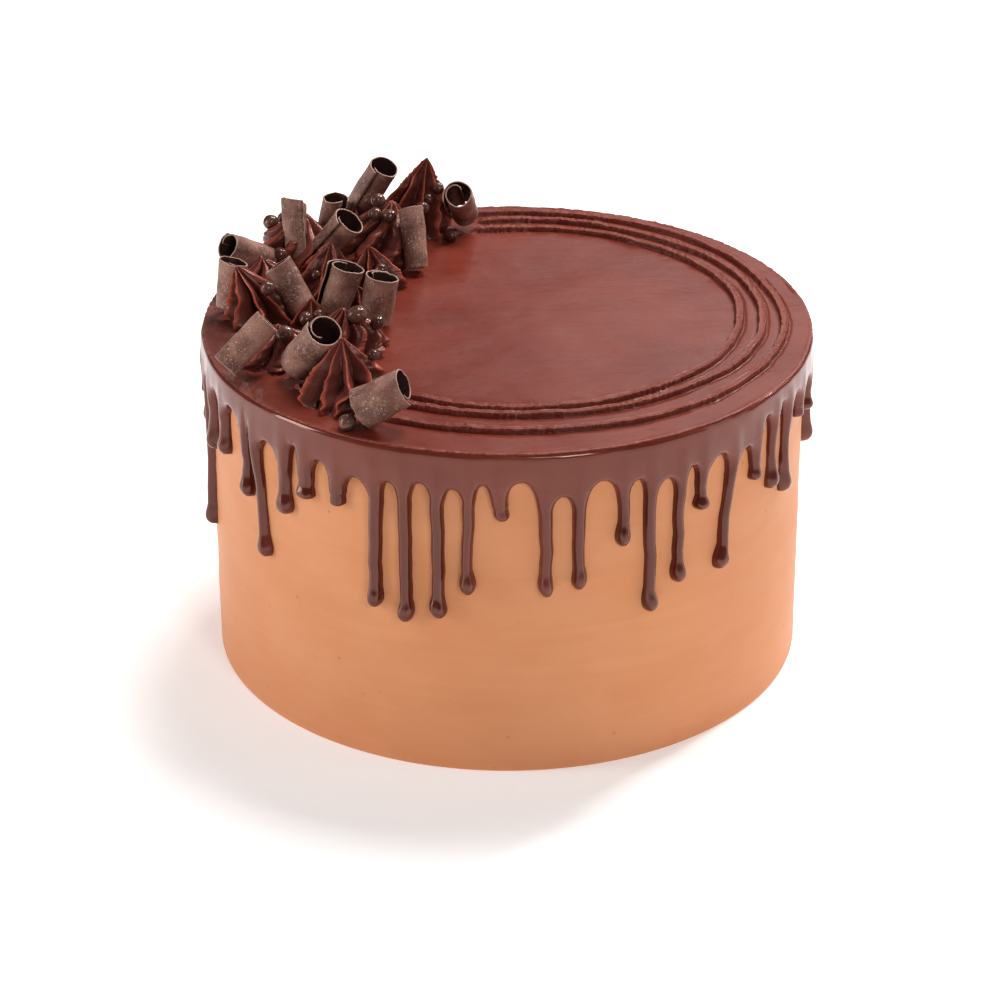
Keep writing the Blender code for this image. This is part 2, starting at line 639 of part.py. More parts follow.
def build_toppings(rosette_finish, curl_finish):
    """Pipe the rosettes, drop the pearls on them, and bed the curls in them."""
    for name in ROSETTES:
        build_rosette(name, rosette_finish)
    for number, row in enumerate(CURLS, start=1):
        build_curl(number, row, curl_finish)
    nodes = [bpy.data.objects[name] for name in (*ROSETTES, "top_icing")]
    graph = bpy.context.evaluated_depsgraph_get()
    trees = {node.name: BVHTree.FromObject(node, graph) for node in nodes}
    pearls = []
    for x, y, diameter in PEARLS:
        radius = 0.5 * diameter * MM
        centre, home = settle(trees, x * MM, y * MM, radius)
        pearls.append((centre, radius, home))
    for node in nodes:
        own = [ball(centre, radius) for centre, radius, home in pearls if home == node.name]
        combine(node, own, "UNION")
    for node in nodes[:-1]:
        beds = [curl_cutter(row) for row in CURLS]
        beds += [ball(centre, radius + GAP) for centre, radius, home in pearls if home != node.name]
        combine(node, beds, "DIFFERENCE")
        keep_largest(node)


def main():
    for stale in list(bpy.data.objects):
        bpy.data.objects.remove(stale)
    buttercream = material("buttercream", (0.74, 0.46, 0.30), 0.55)
    icing = material("chocolate_icing", (0.20, 0.06, 0.045), 0.42)
    glaze = material("chocolate_glaze", (0.085, 0.030, 0.025), 0.18)
    piped = material("piped_chocolate", (0.12, 0.035, 0.028), 0.38)
    shaved = material("shaved_chocolate", (0.13, 0.085, 0.062), 0.6)
    build_body(buttercream)
    build_icing(icing)
    build_glaze(glaze)
    build_toppings(piped, shaved)


main()
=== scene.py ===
"""Finish of the chocolate drip cake: every surface as it is piped, poured, rolled and scraped.

Lengths are in millimetres until make_piece turns them into metres, and angles in degrees
where a name says so. The cake's axis is +Z, its front is -Y. Each piece is a surface worked out
as whole arrays from two parameters, and stands for the solids that it names.
"""

import math

import bmesh
import bpy
import numpy as np
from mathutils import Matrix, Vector
from mathutils.bvhtree import BVHTree


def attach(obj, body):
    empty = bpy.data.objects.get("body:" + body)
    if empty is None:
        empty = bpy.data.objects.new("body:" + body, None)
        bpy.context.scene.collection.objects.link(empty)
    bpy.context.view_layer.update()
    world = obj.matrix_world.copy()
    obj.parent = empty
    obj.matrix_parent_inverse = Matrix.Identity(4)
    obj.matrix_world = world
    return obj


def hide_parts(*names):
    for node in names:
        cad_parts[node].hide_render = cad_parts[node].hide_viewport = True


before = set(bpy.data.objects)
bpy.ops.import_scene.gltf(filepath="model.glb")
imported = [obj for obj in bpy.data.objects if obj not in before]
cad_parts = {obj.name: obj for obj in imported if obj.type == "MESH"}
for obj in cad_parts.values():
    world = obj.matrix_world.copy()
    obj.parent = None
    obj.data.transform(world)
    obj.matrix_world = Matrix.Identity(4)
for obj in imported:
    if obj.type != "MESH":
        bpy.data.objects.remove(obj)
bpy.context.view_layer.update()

MM = 0.001
GAP = 0.3                           # clearance between the solids
MERGE = 0.0005                      # points closer than this are one point
WAVES = 14                          # sine waves in one unevenness

# The cake's own sizes
CAKE_RADIUS = 110.0
CAKE_DRAFT = 0.7                    # how much narrower the frosted side is at its top
CAKE_HEIGHT = 127.0
BASE_ROUND = 1.2
ICING_THICKNESS = 2.7
ICING_BOTTOM = CAKE_HEIGHT - ICING_THICKNESS

# Frosted side
SIDE_COLUMNS, SIDE_ROWS = 420, 90
FLAT_RINGS = (50.0, 100.0)          # rings of points across its flat bottom and top
SIDE_SWELL = 0.10                   # strength of its slow unevenness
SCRAPER_MARKS = 0.035               # strength of the level marks of the scraper
MARKS_TURN = 0.06                   # how much a mark changes round the cake, for its change upwards

# Icing on top: centre x, centre y, radius and wave phase of each ridge
RIDGES = ((4.0, 6.0, 82.0, 0.3), (5.0, 6.8, 89.0, 1.9), (3.0, 4.5, 99.0, 4.1))
RIDGE_WIDTH = 2.6
RIDGE_HEIGHT = 1.7
RIDGE_WAVER = 0.14                  # how far its middle wanders
RIDGE_TEAR, RIDGE_CRUMB = 0.10, 0.07                    # of its edges and top, where it is torn
LEAST_TEAR = 0.01                   # of both where it isn't
RIDGE_FADE = 2.0                    # how gently it ends at a topping
RIDGE_EDGE = 0.34                   # width of its steep edge
RIDGE_STEPS = np.array((-0.36, -0.2, -0.07, 0.07, 0.2, 0.4))    # rows of points over that edge
RIDGE_ROWS = np.concatenate(((-3.0, -2.3), RIDGE_STEPS - 0.5 * RIDGE_WIDTH, (-0.5, 0.0, 0.5),
                             0.5 * RIDGE_WIDTH - RIDGE_STEPS[::-1], (2.2, 2.8)))
LIP_HEIGHT, LIP_WIDTH, LIP_INSET = 0.12, 0.24, 0.18     # torn lip along a ridge's edge
INNER_GROOVE, OUTER_GROOVE = 0.42, 0.55                 # depth of the groove beside a ridge
GROOVE_WIDTH, GROOVE_OFFSET = 0.45, 0.60
# painted shade: the dark line in the groove is a bell curve of this width and offset
SHADE_WIDTH, SHADE_OFFSET = 0.38, 0.35                  # the dark line in that groove
ICING_COLUMNS = 1040
ICING_SWELL = 0.10
CRUMPLE = 0.24                      # strength of the wrinkles towards the left rim
CRUMPLE_START, CRUMPLE_FADE = 80.0, 16.0
RIM_RADIUS = 111.7                  # the torn edge that lies on the glaze
RIM_TEAR, RIM_LIFT = 0.10, 0.06
RIM_ROWS = (    # step outwards, height above the icing, share of the tear
    (-1.1, 0.0, 0.2),
    (-0.5, 0.10, 0.7),
    (0.0, -0.02, 1.0),
    (0.2, -0.30, 0.8),
    (0.0, -0.62, 0.2),
    (-0.9, -0.9, 0.0),
)
UNDERSIDE_RING = 60.0

# Glaze over the edge
BAND_TOP = CAKE_HEIGHT - 0.4
BAND_TOP_RADIUS = 112.4
BAND_PROUD = 3.4                    # in front of the frosted side, between two drips
CROWN, CROWN_REACH = 0.5, 4.0       # the band's swelling above each drip
BAND_SHOULDER, SHOULDER_DEPTH = 0.14, 1.1               # how the band's top edge is rounded
NECK_PROUD = 3.5
BULB_PROUD = 4.5
GLAZE_SWELL = 0.12
GLAZE_SUNK = 0.5                    # the glaze's back, behind the frosted side
ARCH_DEPTH = 7.0
ARCH_SHARE = 0.4                    # an arch takes at most this share of a drip's length
ARCH_ROLL = 2.4                     # how far in from its edge the glaze is rounded
ROLL_SHARE = 0.9                    # of the half-width, on a narrow drip
NECK_FLARE, NECK_NARROW = 1.06, 0.94                    # width of the neck at its ends
WAIST = 0.5                         # how much thinner a long neck is half-way down
WOBBLE = 0.22                       # strength of a drip's sideways waver
BULB_LENGTH = 10.0
BULB_SHARE = 0.6                    # a bulb takes at most this share of what the arch leaves
BELLY = 0.42                        # the bulb's widest place, as a share of its length
SHORT_DRIP, SHORT_FADE = 18.0, 6.0  # a shorter drip is a tongue: a deeper arch, hardly a bulb
TONGUE_DEPTH, TONGUE_ARCH, TONGUE_BULB = 2.0, 0.2, 0.35
TONGUE_SLIM, TONGUE_FLAT = 0.7, 0.8                     # how much of a bulb's swelling it lacks
GLAZE_COLUMNS = 25                  # of points across one drip
BAND_ROWS, ARCH_ROWS, NECK_ROWS, BULB_ROWS = 15, 18, 8, 17
DRIPS = (   # angle of the tip, sideways lean at its top, height of the tip, neck, bulb, next arch
    (-173.6, 0.0, 102.9, 4.6, 5.6, 116.0),
    (-170.0, 0.0, 52.2, 3.9, 5.2, 115.0),
    (-164.1, 0.0, 88.8, 4.6, 5.8, 116.0),
    (-155.7, 0.0, 93.9, 4.8, 6.2, 116.4),
    (-146.3, 0.0, 85.2, 4.6, 6.2, 109.7),
    (-140.8, -2.4, 65.4, 4.2, 6.0, 112.1),
    (-134.7, 0.0, 87.2, 5.6, 6.8, 115.3),
    (-129.1, 0.0, 96.9, 6.6, 7.4, 113.4),
    (-121.9, 0.0, 98.1, 6.2, 6.8, 111.0),
    (-114.6, 0.3, 62.0, 5.2, 5.9, 111.8),
    (-108.7, 0.0, 58.4, 4.9, 6.2, 113.2),
    (-102.5, 0.0, 61.7, 4.9, 6.3, 112.0),
    (-97.3, 0.5, 71.8, 4.3, 6.0, 114.1),
    (-91.0, -0.8, 100.9, 5.6, 6.2, 115.3),
    (-83.0, -0.2, 70.9, 4.8, 5.5, 109.1),
    (-77.0, 0.0, 72.8, 4.6, 5.5, 113.7),
    (-68.8, 0.0, 87.3, 4.3, 5.5, 111.8),
    (-63.4, 0.0, 59.3, 4.5, 5.9, 109.8),
    (-57.4, 0.2, 68.0, 4.1, 5.8, 111.7),
    (-52.4, 0.0, 93.7, 4.1, 6.1, 112.4),
    (-47.4, 2.8, 66.9, 3.9, 6.2, 110.3),
    (-38.2, 0.4, 95.5, 4.4, 6.0, 117.8),
    (-31.8, 0.0, 87.0, 4.2, 5.8, 118.6),
    (-26.2, 0.0, 80.8, 4.2, 5.8, 117.3),
    (-18.6, 0.0, 104.4, 4.4, 5.6, 116.0),
    (-9.5, 0.0, 99.0, 4.4, 5.6, 115.6),
    (-3.0, 0.0, 79.8, 3.6, 5.4, 116.0),
)
BACK_DRIPS = 21
BACK_SEED = 11
BACK_TOP = 115.0                    # a back drip's length is counted from here
BACK_LENGTHS = (14.0, 20.0, 27.0, 34.0, 42.0, 50.0)

# Piped rosettes
ROSETTES = {
    # centre x, y, radius, height, peak's offset x, y, blades, twist in degrees, fullness
    "rosette_front": (-55.0, -67.5, 20.0, 22.0, -2.4, 2.0, 8, 6.0, 0.85),
    "rosette_rim": (-83.0, -32.5, 16.5, 12.5, 1.0, 0.0, 8, 40.0, 0.6),
    "rosette_inner": (-58.5, -25.0, 17.5, 17.0, 0.0, -4.0, 9, 55.0, 0.6),
    "rosette_small": (-71.5, -8.5, 11.5, 12.5, 0.0, -1.0, 7, 15.0, 0.8),
    "rosette_left": (-88.0, -1.0, 17.5, 21.0, -11.5, 3.0, 8, 12.0, 0.8),
    "rosette_nook": (-56.0, 7.0, 13.0, 11.0, 0.0, 0.0, 8, 30.0, 0.7),
    "rosette_side": (-92.0, 28.0, 14.0, 13.5, 0.0, 0.0, 8, 45.0, 0.6),
    "rosette_middle": (-69.0, 29.0, 14.5, 18.0, 3.0, 3.0, 7, 10.0, 0.8),
    "rosette_point": (-49.5, 29.5, 14.0, 17.5, -2.6, -0.6, 7, 10.0, 0.8),
    "rosette_edge": (-80.5, 49.5, 16.5, 20.5, 2.0, 2.0, 8, 50.0, 0.26),
    "rosette_swirl": (-51.0, 59.5, 18.5, 22.0, 6.6, 2.8, 8, 62.0, 0.48),
    "rosette_tall": (-37.6, 87.0, 17.5, 28.5, 6.4, 4.0, 8, 12.0, 0.68),
    "rosette_back": (-59.5, 80.5, 10.5, 13.5, 0.0, 0.0, 7, 40.0, 0.7),
}
FOOT_WIDTH = 0.88                   # of a rosette's radius, where it meets the icing
FOOT_SUNK = 0.8                     # its foot, below the icing's surface
FOOT_RISE = 0.12                    # share of the height over which it widens from its foot
VALLEY_DEPTH = 0.62
ROUND_TWIST = 39.0                  # a rosette that is twisted more has round folds
BLADE_SHARPNESS, FOLD_ROUNDNESS = 1.7, 2.4
BELLY_SWELL = 0.10
DRAWN_OUT, DRAWN_FROM = 0.42, 0.55  # how much thinner a fuller rosette's tip is, and from where
BLADE_SHORTER, BLADE_SHIFT = 0.10, 0.16                 # how much one blade differs from the next
CREST_TEAR = 0.55
PIPED_WRINKLE = 0.13
BLADE_SWAY = 0.12
PIPED_SWELL = 0.25
PIPED_OVERLAP = 0.8                 # how far a rosette presses into its neighbour
BLADE_COLUMNS, PIPED_ROWS = 22, 77
BED_REACH = 12.0                    # a curl that is farther than this from a rosette clears it
BED_COLUMNS = 40
BED_START, BED_INSET = 0.2, 0.3     # room in a curl: from its low end, and in from its width

# Rolled curls: low end x, y, z, open end x, y, z, width at each end, the seam's angle from the
# front in degrees, and the way the sheet rolls on from there (1 or -1)
CURLS = (
    ((-57.3, 85.3, 138.0), (-47.0, 76.6, 157.6), 11.0, 11.4, -25.0, -1),
    ((-16.8, 91.1, 132.1), (-19.0, 75.1, 146.7), 11.0, 11.0, -70.0, -1),
    ((-34.7, 43.2, 129.1), (-37.6, 53.9, 149.8), 7.8, 7.8, 80.0, -1),
    ((-70.4, 43.5, 136.6), (-58.6, 36.6, 151.6), 9.4, 12.2, -35.0, -1),
    ((-79.2, 42.5, 133.2), (-81.0, 51.5, 155.0), 9.2, 9.6, 35.0, -1),
    ((-69.3, 61.6, 132.0), (-65.7, 62.7, 151.0), 9.4, 9.6, 60.0, 1),
    ((-90.0, 36.9, 136.0), (-104.2, 23.8, 146.4), 9.4, 10.6, 150.0, 1),
    ((-102.3, 4.4, 130.4), (-100.4, 7.5, 148.0), 10.4, 10.8, 15.0, -1),
    ((-74.2, -2.4, 131.4), (-84.4, 4.7, 147.8), 10.8, 11.4, 180.0, 1),
    ((-64.4, -1.4, 130.6), (-58.0, -1.2, 149.2), 11.6, 12.6, -75.0, -1),
    ((-48.0, -5.8, 129.2), (-45.3, -5.1, 147.0), 11.6, 13.0, 162.0, 1),
    ((-73.4, -49.8, 132.6), (-63.1, -62.9, 151.0), 13.8, 12.2, -95.0, 1),
    ((-99.3, -52.7, 132.2), (-84.4, -45.2, 146.6), 10.4, 10.2, 160.0, 1),
    ((-50.3, -88.6, 133.4), (-34.5, -91.0, 143.6), 13.8, 11.2, 60.0, -1),
)
CURL_WALL = 0.62
CURL_EASE = 0.4                     # how far its outside stands out from its width
CURL_PITCH = 0.85                   # how much closer each turn lies
CURL_SWELL = 0.13
CURL_TEAR, FOOT_TEAR = 0.07, 0.08   # unevenness of the open end and of the low end
LOW_PART = 0.4                      # share of its length that the low end's unevenness reaches
FLAP_TURN = 1.3                     # how far round, in radians, the flap at the seam reaches
ROLL_REACH = 9.0                    # how much of the sheet the inner roll takes
END_ROUND, SEAM_ROUND = 0.4, 1.0    # width over which the wall thins at the ends and at the seam
THIN_END, THIN_SEAM = 0.35, 0.30    # what is left of the wall there
CUT_EDGE_WIDTH = 0.5                # pale line along every cut edge
CURL_COLUMNS, CURL_ROWS = 84, 38
CURL_FORMS = (  # turns, flap at the seam, inner roll, slant of the open end and its direction
    (1.08, 0.3, 0.2, 0.5, 40.0),
    (1.42, 0.9, 1.2, 0.5, 200.0),
    (1.10, 1.8, 0.1, 0.4, 90.0),
    (1.10, 0.3, 0.2, 0.8, 20.0),
    (1.05, 2.6, 0.1, 1.6, 300.0),
    (0.98, 0.6, 0.2, 0.9, 130.0),
    (1.15, 0.1, 0.2, 0.4, 0.0),
    (1.12, 0.8, 0.3, 0.8, 260.0),
    (1.10, 0.4, 0.2, 0.8, 150.0),
    (1.28, 1.2, 0.7, 0.6, 60.0),
    (1.28, 0.2, 1.0, 0.5, 330.0),
    (1.26, 0.1, 1.0, 0.4, 100.0),
    (1.12, 0.3, 0.3, 0.3, 210.0),
    (1.10, 1.8, 0.2, 0.8, 250.0),
)

# Chocolate pearls: x, y, diameter
PEARLS = (
    (-49.4, 62.0, 5.6),
    (-44.9, 53.4, 5.6),
    (-50.3, 55.6, 5.2),
    (-26.8, 82.6, 4.7),
    (-30.4, 81.6, 4.2),
    (-32.7, 74.4, 4.9),
    (-21.9, 75.7, 5.6),
    (-62.8, 79.4, 4.5),
    (-90.3, 56.9, 6.0),
    (-85.6, 35.6, 5.2),
    (-71.4, 22.9, 3.7),
    (-47.0, 22.0, 4.9),
    (-87.4, -6.0, 5.6),
    (-73.0, -16.2, 5.2),
    (-68.4, -13.8, 4.7),
    (-53.5, -32.1, 7.1),
    (-46.6, -28.0, 5.2),
    (-79.0, -39.2, 6.4),
    (-46.6, -66.0, 4.1),
    (-54.7, -92.3, 6.4),
    (-44.5, 76.0, 5.2),
    (-86.0, 62.5, 4.8),
)
PEARL_SINK = 0.20                   # how much of its radius a pearl sits in what carries it
PEARL_DROP = 45.0                   # a pearl is lowered from this height above the icing
PEARL_STEPS = 60
PEARL_SWELL = 0.018                 # unevenness of a pearl, as a share of its radius
PEARL_ROWS, PEARL_COLUMNS = 17, 34
RAY_START = 200.0                   # above every topping

# Colours, as linear red, green and blue
BUTTERCREAM, BUTTERCREAM_PALE = (0.685, 0.276, 0.126), (0.725, 0.310, 0.150)
# painted shade inside the tiny air pits
PIT_SHADE = (0.40, 0.17, 0.09)
ICING, ICING_PALE = (0.145, 0.019, 0.010), (0.195, 0.032, 0.018)
RIM_BROWN = (0.090, 0.036, 0.030)
# painted shade for the grooves beside the ridges
GROOVE_PAINTED_SHADE = (0.050, 0.008, 0.005)
TORN_PINK = (0.36, 0.11, 0.078)
GLAZE, GLAZE_PALE = (0.078, 0.012, 0.007), (0.150, 0.024, 0.015)
PIPED, PIPED_PALE = (0.095, 0.022, 0.016), (0.150, 0.038, 0.028)
# painted shade for the valleys between the blades
VALLEY_PAINTED_SHADE = (0.034, 0.008, 0.006)
# painted glow of light through the thin crests
CREST_GLOW_RED = (0.40, 0.078, 0.045)
SHAVED, SHAVED_PALE = (0.145, 0.059, 0.042), (0.335, 0.165, 0.122)
FLECK_PALE = (0.66, 0.50, 0.41)
# painted shade inside the roll of a curl
INSIDE_PAINTED_SHADE = (0.030, 0.013, 0.011)
CUT_EDGE_PALE = (0.42, 0.26, 0.20)
PEARL, PEARL_PALE = (0.062, 0.022, 0.016), (0.125, 0.052, 0.038)

# Studio, in metres and watts: name, place, the point it faces, size, power
LIGHTS = (
    ("overhead", (0.25, 0.50, 1.5), (0.0, 0.0, 0.1), (0.5, 0.4), 17.0),
    ("back_wall", (0.45, 1.7, 1.05), (0.0, 0.0, 0.12), (0.9, 0.4), 3.2),
    ("key", (0.8, 0.75, 1.05), (0.0, 0.0, 0.08), (0.18, 0.18), 12.0),
    ("front_fill", (0.50, -1.25, 0.85), (0.0, 0.0, 0.08), (0.30, 0.30), 4.8),
    ("left_wall", (-1.05, -0.20, 0.38), (0.0, 0.0, 0.08), (0.30, 0.7), 5.2),
    ("right_wall", (1.05, -0.20, 0.38), (0.0, 0.0, 0.08), (0.30, 0.7), 0.9),
)
ROOM_STRENGTH = 0.12
FLOOR_REACH = 6.0
FLOOR_GREY = 0.93
FLOOR_ROUGHNESS = 0.9
FLOOR_GLOW = 0.34

# Camera, in metres and radians
CAMERA_PITCH = 0.47435              # below the level
CAMERA_DISTANCE = 1.2028
CAMERA_AIM_HEIGHT = 0.05233
CAMERA_LENS = 114.23
CAMERA_SHIFT = -0.0073


# Arrays and meshes

def smoothstep(value):
    """Rise smoothly from 0 to 1 as value goes from 0 to 1."""
    value = np.clip(value, 0.0, 1.0)
    return value * value * (3.0 - 2.0 * value)


def round_edge(value):
    """Rise on a quarter circle, steep at 0 and level at 1."""
    return np.sqrt(1.0 - (1.0 - np.clip(value, 0.0, 1.0)) ** 2)


def uneven(seed, shortest, longest, *places):
    """Smooth unevenness of unit strength: sine waves of seeded directions and phases added up.

    Each wave's height goes with the root of its length, from the shortest to the longest.
    """
    draw = np.random.default_rng(seed)
    places = np.stack(np.broadcast_arrays(*places), axis=-1)
    lengths = np.geomspace(shortest, longest, WAVES)
    total = np.zeros(places.shape[:-1])
    for length in lengths:
        way = draw.normal(size=places.shape[-1])
        way /= np.linalg.norm(way) * length
        phase = draw.uniform(0.0, 2.0 * math.pi)
        total += math.sqrt(length) * np.sin(2.0 * math.pi * (places @ way) + phase)
    return total / math.sqrt(0.5 * lengths.sum())


def around(count):
    """Angles of evenly spaced points on a full circle."""
    return np.arange(count) * 2.0 * math.pi / count


def grid(rows, columns, closed):
    """Corners of the quads of a grid of points in row order, joined round where closed."""
    across = np.arange(columns if closed else columns - 1)
    here = np.arange(rows - 1)[:, None] * columns + across
    after = np.arange(rows - 1)[:, None] * columns + (across + 1) % columns
    return np.stack((here, after, after + columns, here + columns), axis=-1).reshape(-1, 4)


def fan(centre, ring):
    """Triangles from one point to each side of a closed ring of points."""
    return np.column_stack((np.full(len(ring), centre), ring, np.roll(ring, -1)))


def stack(rings, low, high):
    """A closed surface through rings of points (rows, columns, 3), with a point at each end."""
    rows, columns = rings.shape[:2]
    points = np.concatenate((rings.reshape(-1, 3), (low, high)))
    first = np.arange(columns)
    last = first + (rows - 1) * columns
    faces = [grid(rows, columns, True), fan(rows * columns, first[::-1]),
             fan(rows * columns + 1, last)]
    return points, faces


def link_closed(name, points, faces, marks=None):
    """Link a closed shell made from points in millimetres.

    Points that coincide are merged, and the faces are turned outwards. Each mark is a number
    for every point, or three for the mark "sheet".
    """
    mesh = bpy.data.meshes.new(name)
    corners = [corner for part in faces for corner in part.tolist()]
    mesh.from_pydata((points * MM).tolist(), [], corners)
    for mark, values in (marks or {}).items():
        kind, field = ("FLOAT_VECTOR", "vector") if mark == "sheet" else ("FLOAT", "value")
        layer = mesh.attributes.new(mark, kind, "POINT")
        layer.data.foreach_set(field, np.ravel(values).astype(np.float32))
    shape = bmesh.new()
    shape.from_mesh(mesh)
    bmesh.ops.remove_doubles(shape, verts=shape.verts, dist=MERGE * MM)
    bmesh.ops.recalc_face_normals(shape, faces=shape.faces)
    shape.to_mesh(mesh)
    shape.free()
    shell = bpy.data.objects.new(name, mesh)
    bpy.context.scene.collection.objects.link(shell)
    return shell


def make_piece(name, points, faces, material, nodes, marks=None):
    """Make a smooth piece that stands for its nodes. The material reads its marks by name."""
    piece = link_closed(name, points, faces, marks)
    piece.data.materials.append(material)
    piece.data.shade_smooth()
    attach(piece, "root")
    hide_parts(*nodes)
    return piece


# Shader maths

class Shade:
    """A socket of a material's node tree. Arithmetic on it adds Math nodes."""

    def __init__(self, tree, socket=None):
        self.tree = tree
        self.socket = socket

    def node(self, kind, settings=None, sockets=None, output=0):
        """Add a node: its settings come first, then the values or links of its sockets."""
        made = self.tree.nodes.new(kind)
        for name, value in (settings or {}).items():
            if name == "stops":
                for place, (position, colour) in enumerate(value):
                    if place >= len(made.color_ramp.elements):
                        made.color_ramp.elements.new(position)
                    made.color_ramp.elements[place].position = position
                    made.color_ramp.elements[place].color = (*colour, 1.0)
            else:
                setattr(made, name, value)
        for name, value in (sockets or {}).items():
            if isinstance(value, Shade):
                self.tree.links.new(value.socket, made.inputs[name])
            else:
                made.inputs[name].default_value = value
        return Shade(self.tree, made.outputs[output])

    def maths(self, operation, first, second=0.0):
        """One Math node."""
        return self.node("ShaderNodeMath", {"operation": operation}, {0: first, 1: second})

    def __add__(self, other):
        return self.maths("ADD", self, other)

    def __radd__(self, other):
        return self.maths("ADD", other, self)

    def __sub__(self, other):
        return self.maths("SUBTRACT", self, other)

    def __rsub__(self, other):
        return self.maths("SUBTRACT", other, self)

    def __mul__(self, other):
        return self.maths("MULTIPLY", self, other)

    def __rmul__(self, other):
        return self.maths("MULTIPLY", other, self)


def noise(base, scale, stretch=(1.0, 1.0, 1.0), detail=3.0, roughness=0.5):
    """Noise on the piece's own coordinates in metres, drawn out along each axis."""
    place = base.node("ShaderNodeTexCoord", output="Object")
    turned = base.node("ShaderNodeMapping", {}, {"Vector": place, "Scale": stretch})
    return base.node("ShaderNodeTexNoise", {}, {"Vector": turned, "Scale": scale,
                                                "Detail": detail, "Roughness": roughness})


def band(base, value, low, high):
    """0 below low, 1 above high, and smooth between them."""
    return base.node("ShaderNodeMapRange", {"interpolation_type": "SMOOTHSTEP"},
                     {"Value": value, "From Min": low, "From Max": high})


def blend(base, share, first, second):
    """A colour that goes from the first to the second with the share."""
    colours = {6: first if isinstance(first, Shade) else (*first, 1.0),
               7: second if isinstance(second, Shade) else (*second, 1.0)}
    return base.node("ShaderNodeMix", {"data_type": "RGBA"}, {0: share, **colours}, output=2)


def relief(base, height, depth, strength=1.0):
    """The normal of a surface raised by height times a depth in millimetres."""
    return base.node("ShaderNodeBump", {}, {"Height": height, "Distance": depth * MM,
                                            "Strength": strength})


def finish(name, paint, **constants):
    """A Principled material: paint returns the sockets that vary, and the rest are constants."""
    made = bpy.data.materials.new(name)
    made.use_nodes = True
    tree = made.node_tree
    shader = tree.nodes["Principled BSDF"]
    for socket, value in constants.items():
        shader.inputs[socket.replace("_", " ")].default_value = value
    for socket, value in paint(Shade(tree)).items():
        tree.links.new(value.socket, shader.inputs[socket])
    return made


WARM_GLOSS = {"Specular_IOR_Level": 0.32, "Specular_Tint": (1.0, 0.70, 0.60, 1.0)}
POURED_GLOSS = {"Specular_IOR_Level": 0.85, "Specular_Tint": (1.0, 0.60, 0.50, 1.0)}
PEARL_GLOSS = {"Specular_IOR_Level": 0.50, "Specular_Tint": (1.0, 0.76, 0.66, 1.0)}
CREAM_GLOSS = {"Specular_IOR_Level": 0.12, "Specular_Tint": (1.0, 0.78, 0.60, 1.0)}


def paint_buttercream(base):
    """Scraped smooth: long level streaks, slow unevenness of colour, and tiny air pits in painted
    shade.
    """
    streak = noise(base, 9.0, (1.0, 1.0, 34.0), 4.0, 0.6)
    cloud = noise(base, 26.0, (1.0, 1.0, 1.6), 3.0, 0.5)
    place = base.node("ShaderNodeTexCoord", output="Object")
    cell = base.node("ShaderNodeTexVoronoi", {}, {"Vector": place, "Scale": 165.0})
    chance = noise(base, 95.0, detail=1.0)
    pit = (1.0 - band(base, cell, 0.05, 0.16)) * band(base, chance, 0.60, 0.66)
    tone = band(base, 0.7 * cloud + 0.3 * streak, 0.34, 0.66)
    colour = blend(base, tone, BUTTERCREAM, BUTTERCREAM_PALE)
    # painted shade in the air pits
    colour = blend(base, pit * 0.55, colour, PIT_SHADE)
    return {
        "Base Color": colour,
        "Roughness": 0.40 + 0.18 * streak,
        "Normal": relief(base, streak * 0.35 + cloud * 0.6 - pit * 0.5, 0.30, 0.5),
    }


def paint_icing(base):
    """Ganache spread flat: a fine crinkle drawn out along the last stroke of the palette knife.

    The ridges' torn lips are paler, the grooves beside them carry painted shade, and the left
    rim is duller, browner and creased.
    """
    stroke = noise(base, 60.0, (1.0, 2.6, 2.6), 6.0, 0.62)
    cloud = noise(base, 22.0, detail=3.0)
    grain = noise(base, 260.0, (0.45, 1.0, 1.0), 5.0, 0.65)
    torn = base.node("ShaderNodeAttribute", {"attribute_name": "torn"}, output="Fac")
    groove = base.node("ShaderNodeAttribute", {"attribute_name": "groove"}, output="Fac")
    crumb = noise(base, 900.0, detail=3.0, roughness=0.6)
    place = base.node("ShaderNodeTexCoord", output="Object")
    rightwards = base.node("ShaderNodeSeparateXYZ", {}, {0: place})
    rim = band(base, -1.0 * rightwards, 0.078, 0.100)
    crease = noise(base, 120.0, (1.5, 0.6, 1.0), 5.0, 0.60) * rim
    tone = band(base, 0.7 * cloud + 0.3 * stroke, 0.34, 0.66)
    colour = blend(base, tone, ICING, ICING_PALE)
    colour = blend(base, rim * 0.55, colour, RIM_BROWN)
    # painted shade along the grooves beside the ridges
    colour = blend(base, groove * 0.55, colour, GROOVE_PAINTED_SHADE)
    colour = blend(base, torn * band(base, crumb, 0.38, 0.60) * 0.6, colour, TORN_PINK)
    return {
        "Base Color": colour,
        "Roughness": 0.25 + 0.16 * stroke + 0.12 * torn,
        "Normal": relief(base, stroke * 0.55 + cloud * 0.9 + grain * 0.42 + torn * crumb * 0.4
                         + crease * 3.0, 0.45, 0.9),
    }


def paint_glaze(base):
    """Poured glaze: glossy, with slow waves, duller in patches, and darker down the drips."""
    cloud = noise(base, 30.0, (1.0, 1.0, 0.6), 3.0)
    grain = noise(base, 420.0, detail=2.0)
    place = base.node("ShaderNodeTexCoord", output="Object")
    height = base.node("ShaderNodeSeparateXYZ", {}, {0: place}, output=2)
    tone = band(base, cloud, 0.35, 0.65) * 0.4 + band(base, height, 0.100, 0.118) * 0.6
    colour = blend(base, tone, GLAZE, GLAZE_PALE)
    return {
        "Base Color": colour,
        "Roughness": 0.11 + 0.16 * band(base, cloud, 0.30, 0.70),
        "Normal": relief(base, cloud + grain * 0.04, 0.5, 0.35),
    }


